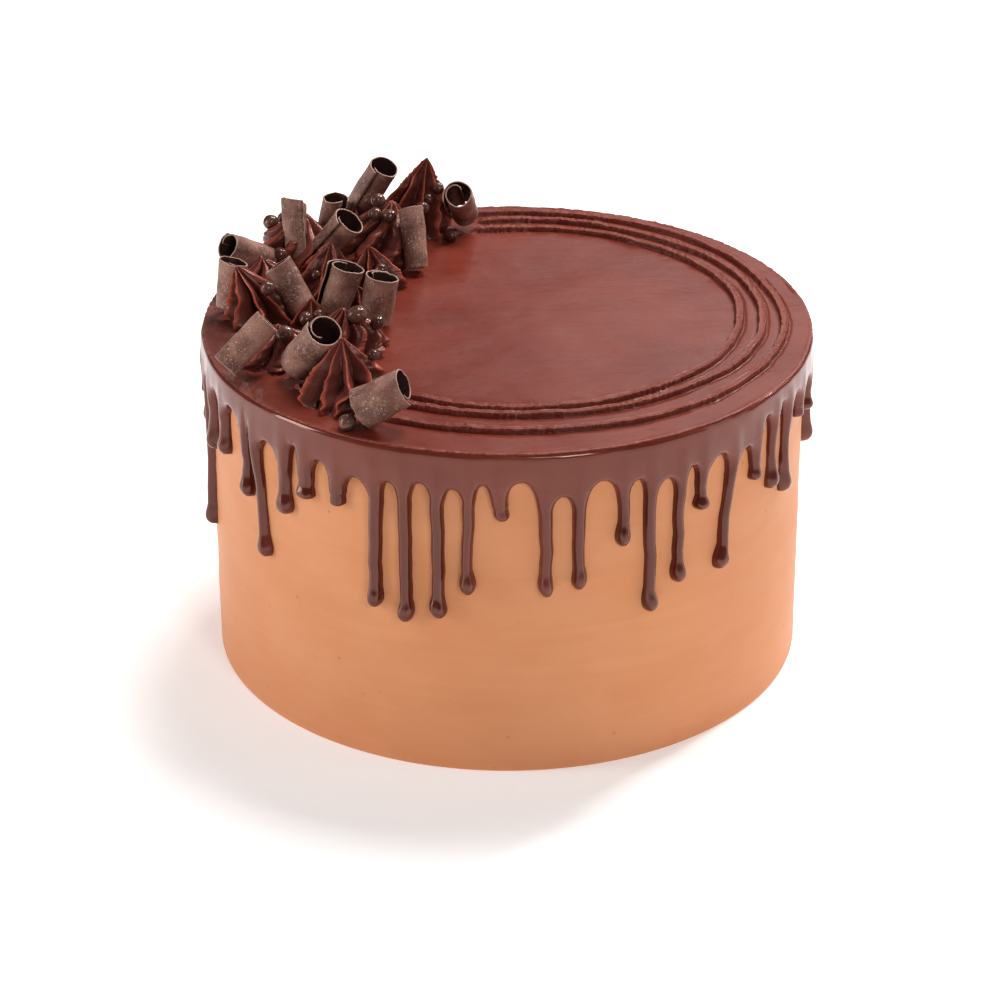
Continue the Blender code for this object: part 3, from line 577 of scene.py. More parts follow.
def paint_piped(base):
    """Piped ganache: painted shade in the valleys and low down, and a painted red glow along each
    blade's thin, torn crest.
    """
    crest = base.node("ShaderNodeAttribute", {"attribute_name": "crest"}, output="Fac")
    valley = base.node("ShaderNodeAttribute", {"attribute_name": "valley"}, output="Fac")
    grain = noise(base, 520.0, detail=4.0, roughness=0.6)
    cloud = noise(base, 90.0, detail=2.0)
    edge = band(base, crest + 0.25 * grain, 0.48, 0.92)
    colour = blend(base, cloud, PIPED, PIPED_PALE)
    # painted shade in the valleys, deepest low down
    colour = blend(base, band(base, valley, 0.45, 1.0) * 0.8, colour, VALLEY_PAINTED_SHADE)
    # painted red glow of light through the thin crests
    colour = blend(base, edge, colour, CREST_GLOW_RED)
    return {
        "Base Color": colour,
        "Roughness": 0.20 + 0.14 * grain + 0.16 * edge,
        "Normal": relief(base, grain + 0.8 * cloud, 0.28, 0.6),
    }


def paint_shaved(base):
    """Shaved chocolate: dull outside with pale scuffs and flecks, painted shade inside, pale edges.

    Faint streaks follow the sheet along the curl.
    """
    inside = base.node("ShaderNodeAttribute", {"attribute_name": "inside"}, output="Fac")
    edge = base.node("ShaderNodeAttribute", {"attribute_name": "edge"}, output="Fac")
    cloud = noise(base, 85.0, detail=4.0, roughness=0.6)
    sheet = base.node("ShaderNodeAttribute", {"attribute_name": "sheet"}, output="Vector")
    drawn = base.node("ShaderNodeMapping", {}, {"Vector": sheet, "Scale": (1.0, 0.12, 1.0)})
    streak = base.node("ShaderNodeTexNoise", {}, {"Vector": drawn, "Scale": 1.6, "Detail": 4.0})
    scuff = noise(base, 760.0, (1.0, 1.0, 1.5), 6.0, 0.75)
    place = base.node("ShaderNodeTexCoord", output="Object")
    fleck = base.node("ShaderNodeTexNoise", {}, {"Vector": place, "Scale": 980.0, "Detail": 5.0,
                                                 "Roughness": 0.72, "Distortion": 1.4})
    patch = 0.25 + 0.75 * band(base, noise(base, 130.0, detail=3.0), 0.36, 0.58)
    pale = patch * (band(base, scuff, 0.54, 0.68) * 0.45 + band(base, fleck, 0.565, 0.63) * 0.95)
    tone = band(base, 0.85 * cloud + 0.15 * streak, 0.38, 0.64)
    colour = blend(base, tone, SHAVED, SHAVED_PALE)
    colour = blend(base, pale * (1.0 - inside), colour, FLECK_PALE)
    # painted shade inside the roll
    colour = blend(base, inside * 0.92, colour, INSIDE_PAINTED_SHADE)
    colour = blend(base, band(base, edge + 0.3 * scuff, 0.72, 1.0), colour, CUT_EDGE_PALE)
    return {
        "Base Color": colour,
        "Roughness": 0.40 + 0.16 * cloud - 0.14 * inside,
        "Normal": relief(base, scuff * 0.6 + cloud + fleck * 0.3 + streak * 0.3, 0.30, 0.65),
    }


def paint_pearl(base):
    """Panned pearls: a polished shell, a little bumpy and clouded."""
    cloud = noise(base, 260.0, detail=2.0)
    colour = blend(base, band(base, cloud, 0.35, 0.65), PEARL, PEARL_PALE)
    return {
        "Base Color": colour,
        "Roughness": 0.14 + 0.14 * cloud,
        "Normal": relief(base, cloud, 0.30, 0.5),
    }


# The frosted side

def body_radius(height):
    """Radius of the frosted side, which narrows evenly towards the top."""
    return CAKE_RADIUS - CAKE_DRAFT * height / CAKE_HEIGHT


def build_side(material):
    """A turned profile (radius by height) carried round the axis.

    The foot is a quarter circle, the side falls evenly, and slow unevenness and level scraper
    marks are added to the radius, fading out at the foot and at the top edge.
    """
    top = ICING_BOTTOM - GAP
    foot = np.linspace(0.0, 0.5 * math.pi, 6)
    heights = np.linspace(BASE_ROUND, top, SIDE_ROWS)[1:]
    radius = np.concatenate((FLAT_RINGS, CAKE_RADIUS - BASE_ROUND * (1.0 - np.sin(foot)),
                             body_radius(heights), FLAT_RINGS[::-1]))
    height = np.concatenate(((0.0, 0.0), BASE_ROUND * (1.0 - np.cos(foot)), heights, (top, top)))
    radius, height, turn = radius[:, None], height[:, None], around(SIDE_COLUMNS)[None, :]
    x, y = radius * np.cos(turn), radius * np.sin(turn)
    slow = uneven(3, 24.0, 90.0, x, y, height)
    level = uneven(5, 3.0, 11.0, MARKS_TURN * x, MARKS_TURN * y, height)
    shown = smoothstep((height - 0.2) / 4.0) * smoothstep((top - height) / 2.0)
    radius = radius + (SIDE_SWELL * slow + SCRAPER_MARKS * level) * shown
    rings = np.stack(np.broadcast_arrays(radius * np.cos(turn), radius * np.sin(turn), height),
                     axis=-1)
    points, faces = stack(rings, (0.0, 0.0, 0.0), (0.0, 0.0, top))
    make_piece("frosted_side", points, faces, material, ["cake_body"])


# The icing on top

def topping_clearance(x, y):
    """0 under a rosette or a curl's foot, rising to 1 on the open icing."""
    clear = np.ones_like(x)
    feet = [(row[0], row[1], FOOT_WIDTH * row[2]) for row in ROSETTES.values()]
    feet += [(low[0], low[1], 0.5 * width + GAP) for low, _, width, *_ in CURLS]
    for foot_x, foot_y, foot_radius in feet:
        distance = np.hypot(x - foot_x, y - foot_y) - foot_radius
        clear = clear * smoothstep(distance / RIDGE_FADE)
    return clear


def ridge_line(number, turn):
    """Where a ridge runs: its circle with the slow waver of a hand-turned comb.

    The waver is three waves of half a millimetre and seven shorter ones.
    """
    centre_x, centre_y, radius, phase = RIDGES[number]
    radius = radius + 0.5 * np.sin(3.0 * turn + phase) + 0.3 * np.sin(7.0 * turn - phase)
    return centre_x + radius * np.cos(turn), centre_y + radius * np.sin(turn)


def icing_row(x, y, height=0.0, torn=0.0, shade=0.0):
    """One ring of points of the icing: place, height above it, and its two marks."""
    return np.stack(np.broadcast_arrays(x, y, height, torn, shade))


def rows_between(start, end, shares):
    """Plain rings of points, at each share of the way from one ring to another."""
    return [icing_row(*(here + share * (there - here) for here, there in zip(start, end)))
            for share in shares]


def ridge_rows(number, turn):
    """The rings of points over one ridge.

    It is a flat-topped bead: its height goes from 0 to RIDGE_HEIGHT over a short steep edge on
    each side, and short unevenness tears both edges and roughens the top. The lip along each
    edge and the groove outside it are bell curves of the distance from the ridge's middle.
    """
    line_x, line_y = ridge_line(number, turn)
    clear = topping_clearance(line_x, line_y)
    torn_part = smoothstep(0.5 + 0.8 * uneven(20 + number, 14.0, 60.0, line_x, line_y))
    waver = RIDGE_WAVER * uneven(30 + number, 5.0, 30.0, line_x, line_y)
    tears = [uneven(34 + 2 * number + side, 0.8, 5.0, line_x, line_y) for side in (0, 1)]
    swell = uneven(50 + number, 4.0, 24.0, line_x, line_y)
    half = 0.5 * RIDGE_WIDTH
    rows = []
    for offset in RIDGE_ROWS:
        x, y = line_x + offset * np.cos(turn), line_y + offset * np.sin(turn)
        tear = tears[0] if offset < 0.0 else tears[1]
        side = np.abs(offset + waver) + (LEAST_TEAR + RIDGE_TEAR * torn_part) * tear
        edge = (half - side) / RIDGE_EDGE
        lip = np.exp(-((half - LIP_INSET - side) / LIP_WIDTH) ** 2)
        depth = INNER_GROOVE if offset < 0.0 else OUTER_GROOVE
        groove = depth * np.exp(-((side - half - GROOVE_OFFSET) / GROOVE_WIDTH) ** 2)
        crumb = (LEAST_TEAR + RIDGE_CRUMB * torn_part) * uneven(40 + number, 0.8, 2.4, x, y)
        lift = RIDGE_HEIGHT * (0.90 + 0.06 * swell) * smoothstep(0.5 + edge)
        lift = lift + smoothstep(edge) * crumb + LIP_HEIGHT * lip
        torn = np.clip(lip + 0.25 * smoothstep(edge), 0.0, 1.0)
        # painted shade: a dark line in the groove outside each edge
        shade = np.exp(-((side - half - SHADE_OFFSET) / SHADE_WIDTH) ** 2)
        rows.append(icing_row(x, y, clear * (lift - groove), clear * torn, clear * shade))
    return rows


def build_icing(material):
    """Rings of points that follow the ridges, going evenly from each ridge to the next.

    The whole surface swells slowly and is crumpled towards the left rim. At the rim the rings
    turn down in a thin torn edge, which short and long unevenness push in and out.
    """
    turn = around(ICING_COLUMNS)
    out_x, out_y = np.cos(turn), np.sin(turn)
    centre = RIDGES[0][:2]
    rows = rows_between(centre, ridge_line(0, turn),
                        np.linspace(0.04, 1.0 + RIDGE_ROWS[0] / RIDGES[0][2], 14)[:-1])
    for number in range(len(RIDGES)):
        rows += ridge_rows(number, turn)
        if number + 1 < len(RIDGES):
            next_x, next_y = ridge_line(number + 1, turn)
            following = (next_x + RIDGE_ROWS[0] * out_x, next_y + RIDGE_ROWS[0] * out_y)
            steps = 3
        else:
            reach = RIM_RADIUS + RIM_ROWS[0][0]
            following = (reach * out_x, reach * out_y)
            steps = 8
        rows += rows_between(rows[-1][:2], following, np.linspace(0.0, 1.0, steps + 2)[1:-1])
    x, y, height, torn, shade = np.array(rows).transpose(1, 0, 2)
    crumpled = smoothstep((-x - CRUMPLE_START) / CRUMPLE_FADE) * uneven(8, 2.2, 8.0, x, 0.5 * y)
    height = height + ICING_SWELL * uneven(7, 14.0, 70.0, x, y) + CRUMPLE * crumpled
    rows = list(np.stack((x, y, height, torn, shade), axis=1))

    tear = uneven(9, 0.8, 6.0, RIM_RADIUS * out_x, RIM_RADIUS * out_y)
    wave = uneven(10, 9.0, 50.0, RIM_RADIUS * out_x, RIM_RADIUS * out_y)
    for step, rise, share in RIM_ROWS:
        reach = RIM_RADIUS + step + share * RIM_TEAR * (tear + wave)
        rise = rise + share * RIM_LIFT * tear
        rows.append(icing_row(reach * out_x, reach * out_y, rise, 0.8 * share))
    for radius in (body_radius(ICING_BOTTOM), UNDERSIDE_RING):
        rows.append(icing_row(radius * out_x, radius * out_y, -ICING_THICKNESS))
    x, y, height, torn, shade = np.array(rows).transpose(1, 0, 2)
    points, faces = stack(np.stack((x, y, CAKE_HEIGHT + height), axis=-1),
                          (*centre, CAKE_HEIGHT), (0.0, 0.0, ICING_BOTTOM))
    return make_piece("icing_top", points, faces, material, ["top_icing"],
                      {"torn": np.append(torn, (0.0, 0.0)), "groove": np.append(shade, (0.0, 0.0))})


# The glaze and its drips

def all_drips():
    """The drips in order of angle, the back ones drawn evenly spaced with a seeded unevenness."""
    draw = np.random.default_rng(BACK_SEED)
    drips = list(DRIPS)
    start = DRIPS[-1][0]
    step = (360.0 + DRIPS[0][0] - start) / (BACK_DRIPS + 1)
    for number in range(BACK_DRIPS):
        angle = start + step * (number + 1) + draw.uniform(-1.2, 1.2)
        length = draw.choice(BACK_LENGTHS) + draw.uniform(-3.0, 3.0)
        neck = draw.uniform(3.9, 5.2)
        arch = draw.uniform(110.0, 117.0)
        lean = draw.uniform(-0.6, 0.6)
        bulb = neck + draw.uniform(0.8, 1.6)
        drips.append((angle, lean, BACK_TOP - length, neck, bulb, arch))
    return np.array(drips)


def arch_distance(away_x, away_y, reach, drop):
    """Distance to an arch, which is a half ellipse: how far a point's size on the ellipse's own
    scale is past 1, over the slope of that size there.
    """
    size = np.hypot(away_x / reach, away_y / drop)
    slope = np.hypot(away_x / reach ** 2, away_y / drop ** 2) / size
    return (size - 1.0) / slope


def build_glaze(material):
    """Each drip is a grid: across it from edge to edge, and down from the band's top to the tip.

    Down the band the edges are shared with the neighbours. Below an arch the half-width falls
    on a quarter ellipse to the neck, swells to the bulb's belly and closes in the tip on
    another ellipse. The surface stands proud by a thickness times a quarter circle of the
    distance from the edge, so every edge rolls in to the frosted side.
    """
    drips = all_drips()
    angle, lean, tip, neck, bulb, right_arch = (column[:, None, None] for column in drips.T)
    left_arch = np.roll(right_arch, 1, axis=0)
    top = angle + lean
    following = np.concatenate((top[1:], top[:1] + 360.0))
    right_edge = 0.5 * (top + following)
    left_edge = np.roll(right_edge, 1, axis=0)
    left_edge[0] -= 360.0
    across = np.sin(0.5 * math.pi * np.linspace(-1.0, 1.0, GLAZE_COLUMNS))[None, None, :]
    side = np.abs(across)
    degrees = math.degrees(1.0 / (CAKE_RADIUS + GAP))

    # From the top down: the band, the arches on both sides, the neck and the bulb
    down = (1.0 - (1.0 - np.linspace(0.0, 1.0, BAND_ROWS)) ** 1.6)[None, :, None]
    fall = (np.linspace(0.0, 1.0, ARCH_ROWS + 1)[1:] ** 1.7)[None, :, None]
    run = np.linspace(0.0, 1.0, NECK_ROWS + 1)[1:][None, :, None]
    close = np.cos(0.5 * math.pi * np.linspace(0.0, 1.0, BULB_ROWS + 1)[1:])[None, :, None]
    arch_end = BAND_ROWS + ARCH_ROWS
    flat = 0.0 * (tip + side)

    # Heights
    arch_top = np.where(across < 0.0, left_arch, right_arch)
    middle = 0.5 * (left_arch + right_arch)
    arch = middle + (arch_top - middle) * smoothstep(side)
    lower = np.minimum(left_arch, right_arch)
    tongue = smoothstep((SHORT_DRIP - (lower - tip)) / SHORT_FADE)
    neck_top = lower - np.minimum(ARCH_DEPTH + TONGUE_DEPTH * tongue,
                                  (ARCH_SHARE + TONGUE_ARCH * tongue) * (lower - tip))
    bulb_top = tip + np.minimum(BULB_LENGTH, (BULB_SHARE + TONGUE_BULB * tongue) * (neck_top - tip))
    band_height = BAND_TOP + (arch - BAND_TOP) * down
    height = np.concatenate((band_height, arch + (neck_top - arch) * fall,
                             neck_top + (bulb_top - neck_top) * run + flat,
                             tip + (bulb_top - tip) * close + flat), axis=1)

    # Half-widths
    reach = np.abs(np.where(across < 0.0, left_edge, right_edge) - top) / degrees
    half = 0.5 * neck
    arch_reach = reach - NECK_FLARE * half
    swell = smoothstep((1.0 - close) / (1.0 - BELLY))
    widest = 0.5 * bulb - TONGUE_SLIM * tongue * (0.5 * bulb - NECK_NARROW * half)
    bulb_width = np.where(close > BELLY, NECK_NARROW * half + (widest - NECK_NARROW * half) * swell,
                          widest * round_edge(close / BELLY))
    width = np.concatenate((reach + 0.0 * down,
                            NECK_FLARE * half + arch_reach * (1.0 - round_edge(fall)),
                            half * (NECK_FLARE - (NECK_FLARE - NECK_NARROW) * run) + flat,
                            bulb_width + flat), axis=1)

    # Places round the cake
    centre = angle + lean * np.clip((height - tip) / (middle - tip), 0.0, 1.0)
    centre[:, :BAND_ROWS] = top
    loose = np.concatenate((0.0 * down, fall, 1.0 + 0.0 * run, 1.0 + 0.0 * close), axis=1)
    wobble = WOBBLE * uneven(61, 7.0, 30.0, centre * 3.0, height) * loose
    turn = np.radians(centre + (across * width + wobble) * degrees)

    # Thickness
    crown = CROWN * (1.0 - smoothstep(side * reach / CROWN_REACH))
    rim = BAND_TOP_RADIUS - body_radius(BAND_TOP)
    band_proud = rim + (BAND_PROUD + crown * down - rim) * smoothstep(down * 1.4)
    shoulder = 1.0 - BAND_SHOULDER * (1.0 - round_edge((BAND_TOP - band_height) / SHOULDER_DEPTH))
    arch_proud = BAND_PROUD + (NECK_PROUD - BAND_PROUD) * fall + crown * (1.0 - fall)
    waist = WAIST * np.clip((neck_top - bulb_top) / BULB_LENGTH, 0.0, 1.0)
    belly = BULB_PROUD - TONGUE_FLAT * (BULB_PROUD - NECK_PROUD) * tongue
    bulb_proud = np.where(close > BELLY, NECK_PROUD + (belly - NECK_PROUD) * swell,
                          belly * round_edge(close / BELLY))
    proud = np.concatenate((band_proud * shoulder, arch_proud,
                            NECK_PROUD - waist * np.sin(math.pi * run) + flat,
                            bulb_proud + flat), axis=1)
    proud = proud + GLAZE_SWELL * uneven(62, 9.0, 40.0, CAKE_RADIUS * np.cos(turn),
                                         CAKE_RADIUS * np.sin(turn), height)

    # The rolled edge
    inward = np.concatenate((arch_distance((reach - side * width)[:, :arch_end],
                                           (height - neck_top)[:, :arch_end],
                                           arch_reach, arch_top - neck_top),
                             ((1.0 - side) * width)[:, arch_end:]), axis=1)
    roll = np.minimum(ARCH_ROLL, np.maximum(ROLL_SHARE * width, 0.05))
    back_radius = body_radius(height) - GLAZE_SUNK
    radius = back_radius + (proud + GLAZE_SUNK) * round_edge(inward / roll)

    # The back has only the two edge columns, and the top is one face
    front = np.stack((radius * np.cos(turn), radius * np.sin(turn), height), axis=-1)
    back = np.stack((back_radius * np.cos(turn), back_radius * np.sin(turn), height), axis=-1)
    back = back[:, :, (0, -1)]
    points = np.concatenate((front.reshape(len(drips), -1, 3),
                             back.reshape(len(drips), -1, 3)), axis=1)
    rows = height.shape[1]
    front_count = rows * GLAZE_COLUMNS
    shells = (grid(rows, GLAZE_COLUMNS, False), grid(rows, 2, False) + front_count,
              np.append(np.arange(GLAZE_COLUMNS), (front_count + 1, front_count))[None, :])
    faces = [shell + number * points.shape[1] for number in range(len(drips)) for shell in shells]
    make_piece("glaze_drips", points.reshape(-1, 3), faces, material, ["drip_glaze"])


# The rosettes

def cell_limits(name):
    """The planes between a rosette and its neighbours: a direction and a distance for each."""
    x, y, radius = ROSETTES[name][:3]
    limits = []
    for other, row in ROSETTES.items():
        apart = math.hypot(row[0] - x, row[1] - y)
        if other == name or apart > radius + row[2] + 1.0:
            continue
        reach = (apart ** 2 + radius ** 2 - row[2] ** 2) / (2.0 * apart)
        limits.append(((row[0] - x) / apart, (row[1] - y) / apart, reach + PIPED_OVERLAP))
    return limits


def build_rosette(name, seed, material):
    """A piped star: a grid of angle round the axis by height up it.

    A blade's reach at height h is the foot's radius times (1 - h) to the fullness, with a
    slight belly and a drawn-out tip. Between two crests the reach falls by the valley's depth
    times 1 minus the share, which rises from 0 in the valley to 1 on the crest. Crests are
    torn by short unevenness and waver sideways, and no two blades are equally long. A rosette
    that is twisted far has round folds in place of sharp crests.
    """
    x, y, radius, height, lean_x, lean_y, blades, twist, fullness = ROSETTES[name]
    draw = np.random.default_rng(seed)
    step = np.linspace(-1.0, 1.0, BLADE_COLUMNS + 1)[:-1]
    step = 0.5 * np.sign(step) * np.abs(step) ** 1.35
    blade, place = (part.ravel() for part in np.meshgrid(np.arange(blades), step, indexing="ij"))
    level = (1.0 - (1.0 - np.linspace(0.0, 1.0, PIPED_ROWS + 3)) ** 1.3)[:PIPED_ROWS, None]
    spacing = 2.0 * math.pi / blades
    length = (1.0 - BLADE_SHORTER * draw.uniform(0.0, 1.0, blades))[blade]
    shift = (BLADE_SHIFT * draw.uniform(-1.0, 1.0, blades))[blade]
    valley = draw.uniform(0.85, 1.12, blades)
    valley = np.where(place < 0.0, valley[blade - 1], valley[blade])
    blade_turn = (blade + place) * spacing
    # each blade's shape, and the mark for the painted glow along its crest
    if twist > ROUND_TWIST:
        share = 1.0 - (2.0 * np.abs(place)) ** FOLD_ROUNDNESS
        crest_glow_mark = 0.55 * share ** 6
    else:
        share = (1.0 - 2.0 * np.abs(place)) ** BLADE_SHARPNESS
        crest_glow_mark = share ** 3

    # How far the crests reach, and the surface between them
    crest = radius * (1.0 - level) ** fullness * (1.0 + BELLY_SWELL * np.sin(math.pi * level))
    pull = DRAWN_OUT * smoothstep((0.85 - fullness) / 0.3)
    crest = crest * (1.0 - pull * smoothstep((level - DRAWN_FROM) / (1.0 - DRAWN_FROM)))
    crest = crest * length * (FOOT_WIDTH + (1.0 - FOOT_WIDTH) * smoothstep(level / FOOT_RISE))
    tear = uneven(seed + 100, 1.0, 5.0, level * height, blade * 7.0)
    ragged = smoothstep(0.55 + 0.9 * uneven(seed + 101, 5.0, 20.0, level * height, blade * 9.0))
    crest = crest + CREST_TEAR * tear * ragged * share ** 4 * (1.0 - 0.7 * level)
    depth = VALLEY_DEPTH * valley * smoothstep(0.35 + 2.0 * level)
    wrinkle = uneven(seed + 400, 2.0, 11.0, level * height, 12.0 * np.cos(blade_turn),
                     12.0 * np.sin(blade_turn))
    reach = crest * (1.0 - depth * (1.0 - share)) + PIPED_WRINKLE * wrinkle * (1.0 - level)

    # Twisted, leaning, and pressed flat against the neighbours
    sway = BLADE_SWAY * uneven(seed + 200, 4.0, 22.0, level * height, blade * 5.0)
    turned = (blade + place + (shift + sway) * (1.0 - 0.5 * level)) * spacing
    turned = turned + math.radians(twist) * level
    axis_x, axis_y = level ** 1.5 * lean_x, level ** 1.5 * lean_y
    out_x, out_y = reach * np.cos(turned), reach * np.sin(turned)
    shrink = np.ones_like(out_x)
    for way_x, way_y, limit in cell_limits(name):
        out = out_x * way_x + out_y * way_y
        room = np.maximum(limit - axis_x * way_x - axis_y * way_y, 0.5)
        shrink = np.minimum(shrink, room / np.maximum(out, room))
    out_x, out_y = out_x * shrink, out_y * shrink
    swell = PIPED_SWELL * uneven(seed + 300, 4.0, 14.0, out_x, out_y)
    rise = CAKE_HEIGHT + level * height + swell * level

    rings = np.stack((x + axis_x + out_x, y + axis_y + out_y, rise), axis=-1)
    foot = rings[:1].copy()
    foot[..., 2] = CAKE_HEIGHT - FOOT_SUNK
    points, faces = stack(np.concatenate((foot, rings)), (x, y, CAKE_HEIGHT - FOOT_SUNK),
                          (x + lean_x, y + lean_y, CAKE_HEIGHT + GAP + height))
    # painted glow of light through each thin crest
    crest_glow = np.concatenate((np.zeros_like(share), np.tile(crest_glow_mark, PIPED_ROWS), (0.0, 1.0)))
    # painted shade: darkest in the valleys and towards the foot
    low = (1.0 - 0.8 * share) * (1.0 - 0.6 * smoothstep(level))
    valley_shade = np.concatenate((np.ones_like(share), low.ravel(), (1.0, 0.0)))
    piece = make_piece(name + "_piped", points, faces, material, [name],
                       {"crest": crest_glow, "valley": valley_shade})
    bed_curls(piece, x, y, radius)
    return piece


def bed_curls(piece, x, y, radius):
    """Clear the inside of each curl that is pressed into a rosette."""
    rooms = []
    for low, high, low_width, high_width, _, _ in CURLS:
        nearest = min(math.hypot(end[0] - x, end[1] - y) for end in (low, high))
        if nearest > radius + BED_REACH:
            continue
        start, end, along, front, other = curl_frame(low, high)
        start = start + BED_START * along
        turn = around(BED_COLUMNS)[None, :, None]
        ring = np.cos(turn) * front + np.sin(turn) * other
        reach = 0.5 * np.array((low_width, high_width))[:, None, None] - BED_INSET
        rings = np.stack((start, end))[:, None, :] + reach * ring
        room = link_closed("curl_room", *stack(rings, start, end))
        cut = piece.modifiers.new("bed", "BOOLEAN")
        cut.operation = "DIFFERENCE"
        cut.solver = "MANIFOLD"
        cut.object = room
        rooms.append(room)
    graph = bpy.context.evaluated_depsgraph_get()
    piece.data = bpy.data.meshes.new_from_object(piece.evaluated_get(graph))
    piece.modifiers.clear()
    for room in rooms:
        bpy.data.objects.remove(room)


# The curls

def curl_frame(low, high):
    """A curl's ends, its direction, the direction across it nearest the front, and the third."""
    low, high = Vector(low), Vector(high)
    along = (high - low).normalized()
    front = Vector((0.0, -1.0, 0.0))
    front = (front - along * along.dot(front)).normalized()
    return tuple(np.array(part) for part in (low, high, along, front, along.cross(front)))


def build_curl(number, material):
    """A rolled sheet: a grid of the way round the roll by the way along it.

    The outer face's radius falls evenly with each turn, opens in a flap at the seam and
    tightens at the inner edge. The wall thins on a quarter circle towards every edge. The open
    end is cut a little slanting, and short unevenness tears both ends.
    """
    low, high, low_width, high_width, seam, hand = CURLS[number]
    turns, flap, inner_roll, slant, slant_way = CURL_FORMS[number]
    low, high, along, front, other = curl_frame(low, high)
    span = float(np.linalg.norm(high - low))
    seed = 400 + 10 * number
    roll = np.linspace(0.0, turns * 2.0 * math.pi, int(CURL_COLUMNS * turns))[None, :]
    ends = np.linspace(0.0, END_ROUND, 6)[:-1]
    middle = np.linspace(END_ROUND, span - END_ROUND, CURL_ROWS)
    way = np.concatenate((ends, middle, span - ends[::-1]))[:, None]
    share = way / span
    width = low_width + (high_width - low_width) * share
    length = roll * 0.5 * width
    left = (roll.max() - roll) * 0.5 * width
    from_end, from_seam = np.minimum(way, span - way), np.minimum(length, left)

    # The roll and its wall
    radius = 0.5 * width + CURL_EASE - CURL_PITCH * roll / (2.0 * math.pi)
    radius = radius + flap * np.clip(1.0 - roll / FLAP_TURN, 0.0, 1.0) ** 2 * (0.45 + 0.55 * share)
    radius = radius - 2.0 * inner_roll * np.clip(1.0 - left / ROLL_REACH, 0.0, 1.0) ** 2
    radius = radius + CURL_SWELL * uneven(seed, 6.0, 26.0, way, length)
    turn = math.radians(seam) + hand * roll
    wall = CURL_WALL * (THIN_END + (1.0 - THIN_END) * round_edge(from_end / END_ROUND))
    wall = wall * (THIN_SEAM + (1.0 - THIN_SEAM) * round_edge(from_seam / SEAM_ROUND))

    # Its ends
    cut = slant * (np.cos(turn - math.radians(slant_way)) - 1.0)
    torn = CURL_TEAR * uneven(seed + 1, 1.0, 9.0, length)
    torn_low = FOOT_TEAR * uneven(seed + 2, 1.0, 9.0, length)
    reach = way + (torn + cut) * smoothstep((share - LOW_PART) / (1.0 - LOW_PART))
    reach = reach + torn_low * smoothstep((LOW_PART - share) / LOW_PART)

    spin = np.cos(turn)[..., None] * front + np.sin(turn)[..., None] * other
    axis = low + reach[..., None] * along
    outer = axis + (radius - 0.5 * (CURL_WALL - wall))[..., None] * spin
    inner = axis + (radius - 0.5 * (CURL_WALL + wall))[..., None] * spin
    rows, columns = reach.shape
    points = np.concatenate((outer, inner[:, ::-1]), axis=1).reshape(-1, 3)
    strip = np.arange(columns - 1)
    cap = np.stack((strip, strip + 1, 2 * columns - 2 - strip, 2 * columns - 1 - strip), axis=-1)
    faces = [grid(rows, 2 * columns, True), cap, cap + (rows - 1) * 2 * columns]

    # Marks: the pale cut edges, what lies inside the roll and gets painted shade, and the sheet's
    # own coordinates
    edge = 1.0 - np.clip(np.minimum(from_end, from_seam) / CUT_EDGE_WIDTH, 0.0, 1.0)
    edge = np.concatenate((edge, edge[:, ::-1]), axis=1)
    hidden = np.broadcast_to(smoothstep((roll - 2.0 * math.pi) / 0.3), reach.shape)
    inside = np.concatenate((hidden, np.ones_like(reach)), axis=1)
    sheet = np.stack(np.broadcast_arrays(length, way, float(seed)), axis=-1)
    sheet = np.concatenate((sheet, sheet[:, ::-1]), axis=1)
    name = f"curl_{number + 1:02d}"
    make_piece(name + "_shaved", points, faces, material, [name],
               {"edge": edge, "inside": inside, "sheet": sheet})


# The pearls

def pearl_homes():
    """The nodes that the pearls are fused to: the highest that a ray straight down meets."""
    homes = set()
    for x, y, _ in PEARLS:
        tops = {}
        for name in (*ROSETTES, "top_icing"):
            hit, spot, _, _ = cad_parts[name].ray_cast(Vector((x, y, RAY_START)) * MM,
                                                            Vector((0.0, 0.0, -1.0)))
            if hit:
                tops[name] = spot.z
        homes.add(max(tops, key=tops.get))
    return sorted(homes)


def settle_pearls(pieces):
    """Lower each pearl by the room that is left under it until it sinks a little into a piece."""
    graph = bpy.context.evaluated_depsgraph_get()
    trees = [BVHTree.FromObject(piece, graph) for piece in pieces]
    centres = []
    for x, y, diameter in PEARLS:
        height = CAKE_HEIGHT + PEARL_DROP
        for _ in range(PEARL_STEPS):
            room = min(tree.find_nearest(Vector((x, y, height)) * MM)[3] for tree in trees) / MM
            height -= max(room - 0.5 * diameter * (1.0 - PEARL_SINK), 0.0)
        centres.append((x, y, height))
    return np.array(centres)


def build_pearls(centres, homes, material):
    """Balls on a grid of angle by height, each a little uneven."""
    rise = np.linspace(-0.5 * math.pi, 0.5 * math.pi, PEARL_ROWS + 2)[1:-1, None]
    turn = around(PEARL_COLUMNS)[None, :]
    unit = np.stack(np.broadcast_arrays(np.cos(rise) * np.cos(turn), np.cos(rise) * np.sin(turn),
                                        np.sin(rise)), axis=-1)
    points = []
    faces = []
    for number, (centre, row) in enumerate(zip(centres, PEARLS)):
        radius = 0.5 * row[2]
        bumps = 1.0 + PEARL_SWELL * uneven(700 + number, 0.5, 2.0, *np.moveaxis(unit, -1, 0))
        pole = np.array((0.0, 0.0, radius))
        ball_points, ball_faces = stack(centre + radius * unit * bumps[..., None],
                                        centre - pole, centre + pole)
        faces += [part + len(ball_points) * number for part in ball_faces]
        points.append(ball_points)
    make_piece("pearls", np.concatenate(points), faces, material, homes)


# Surroundings

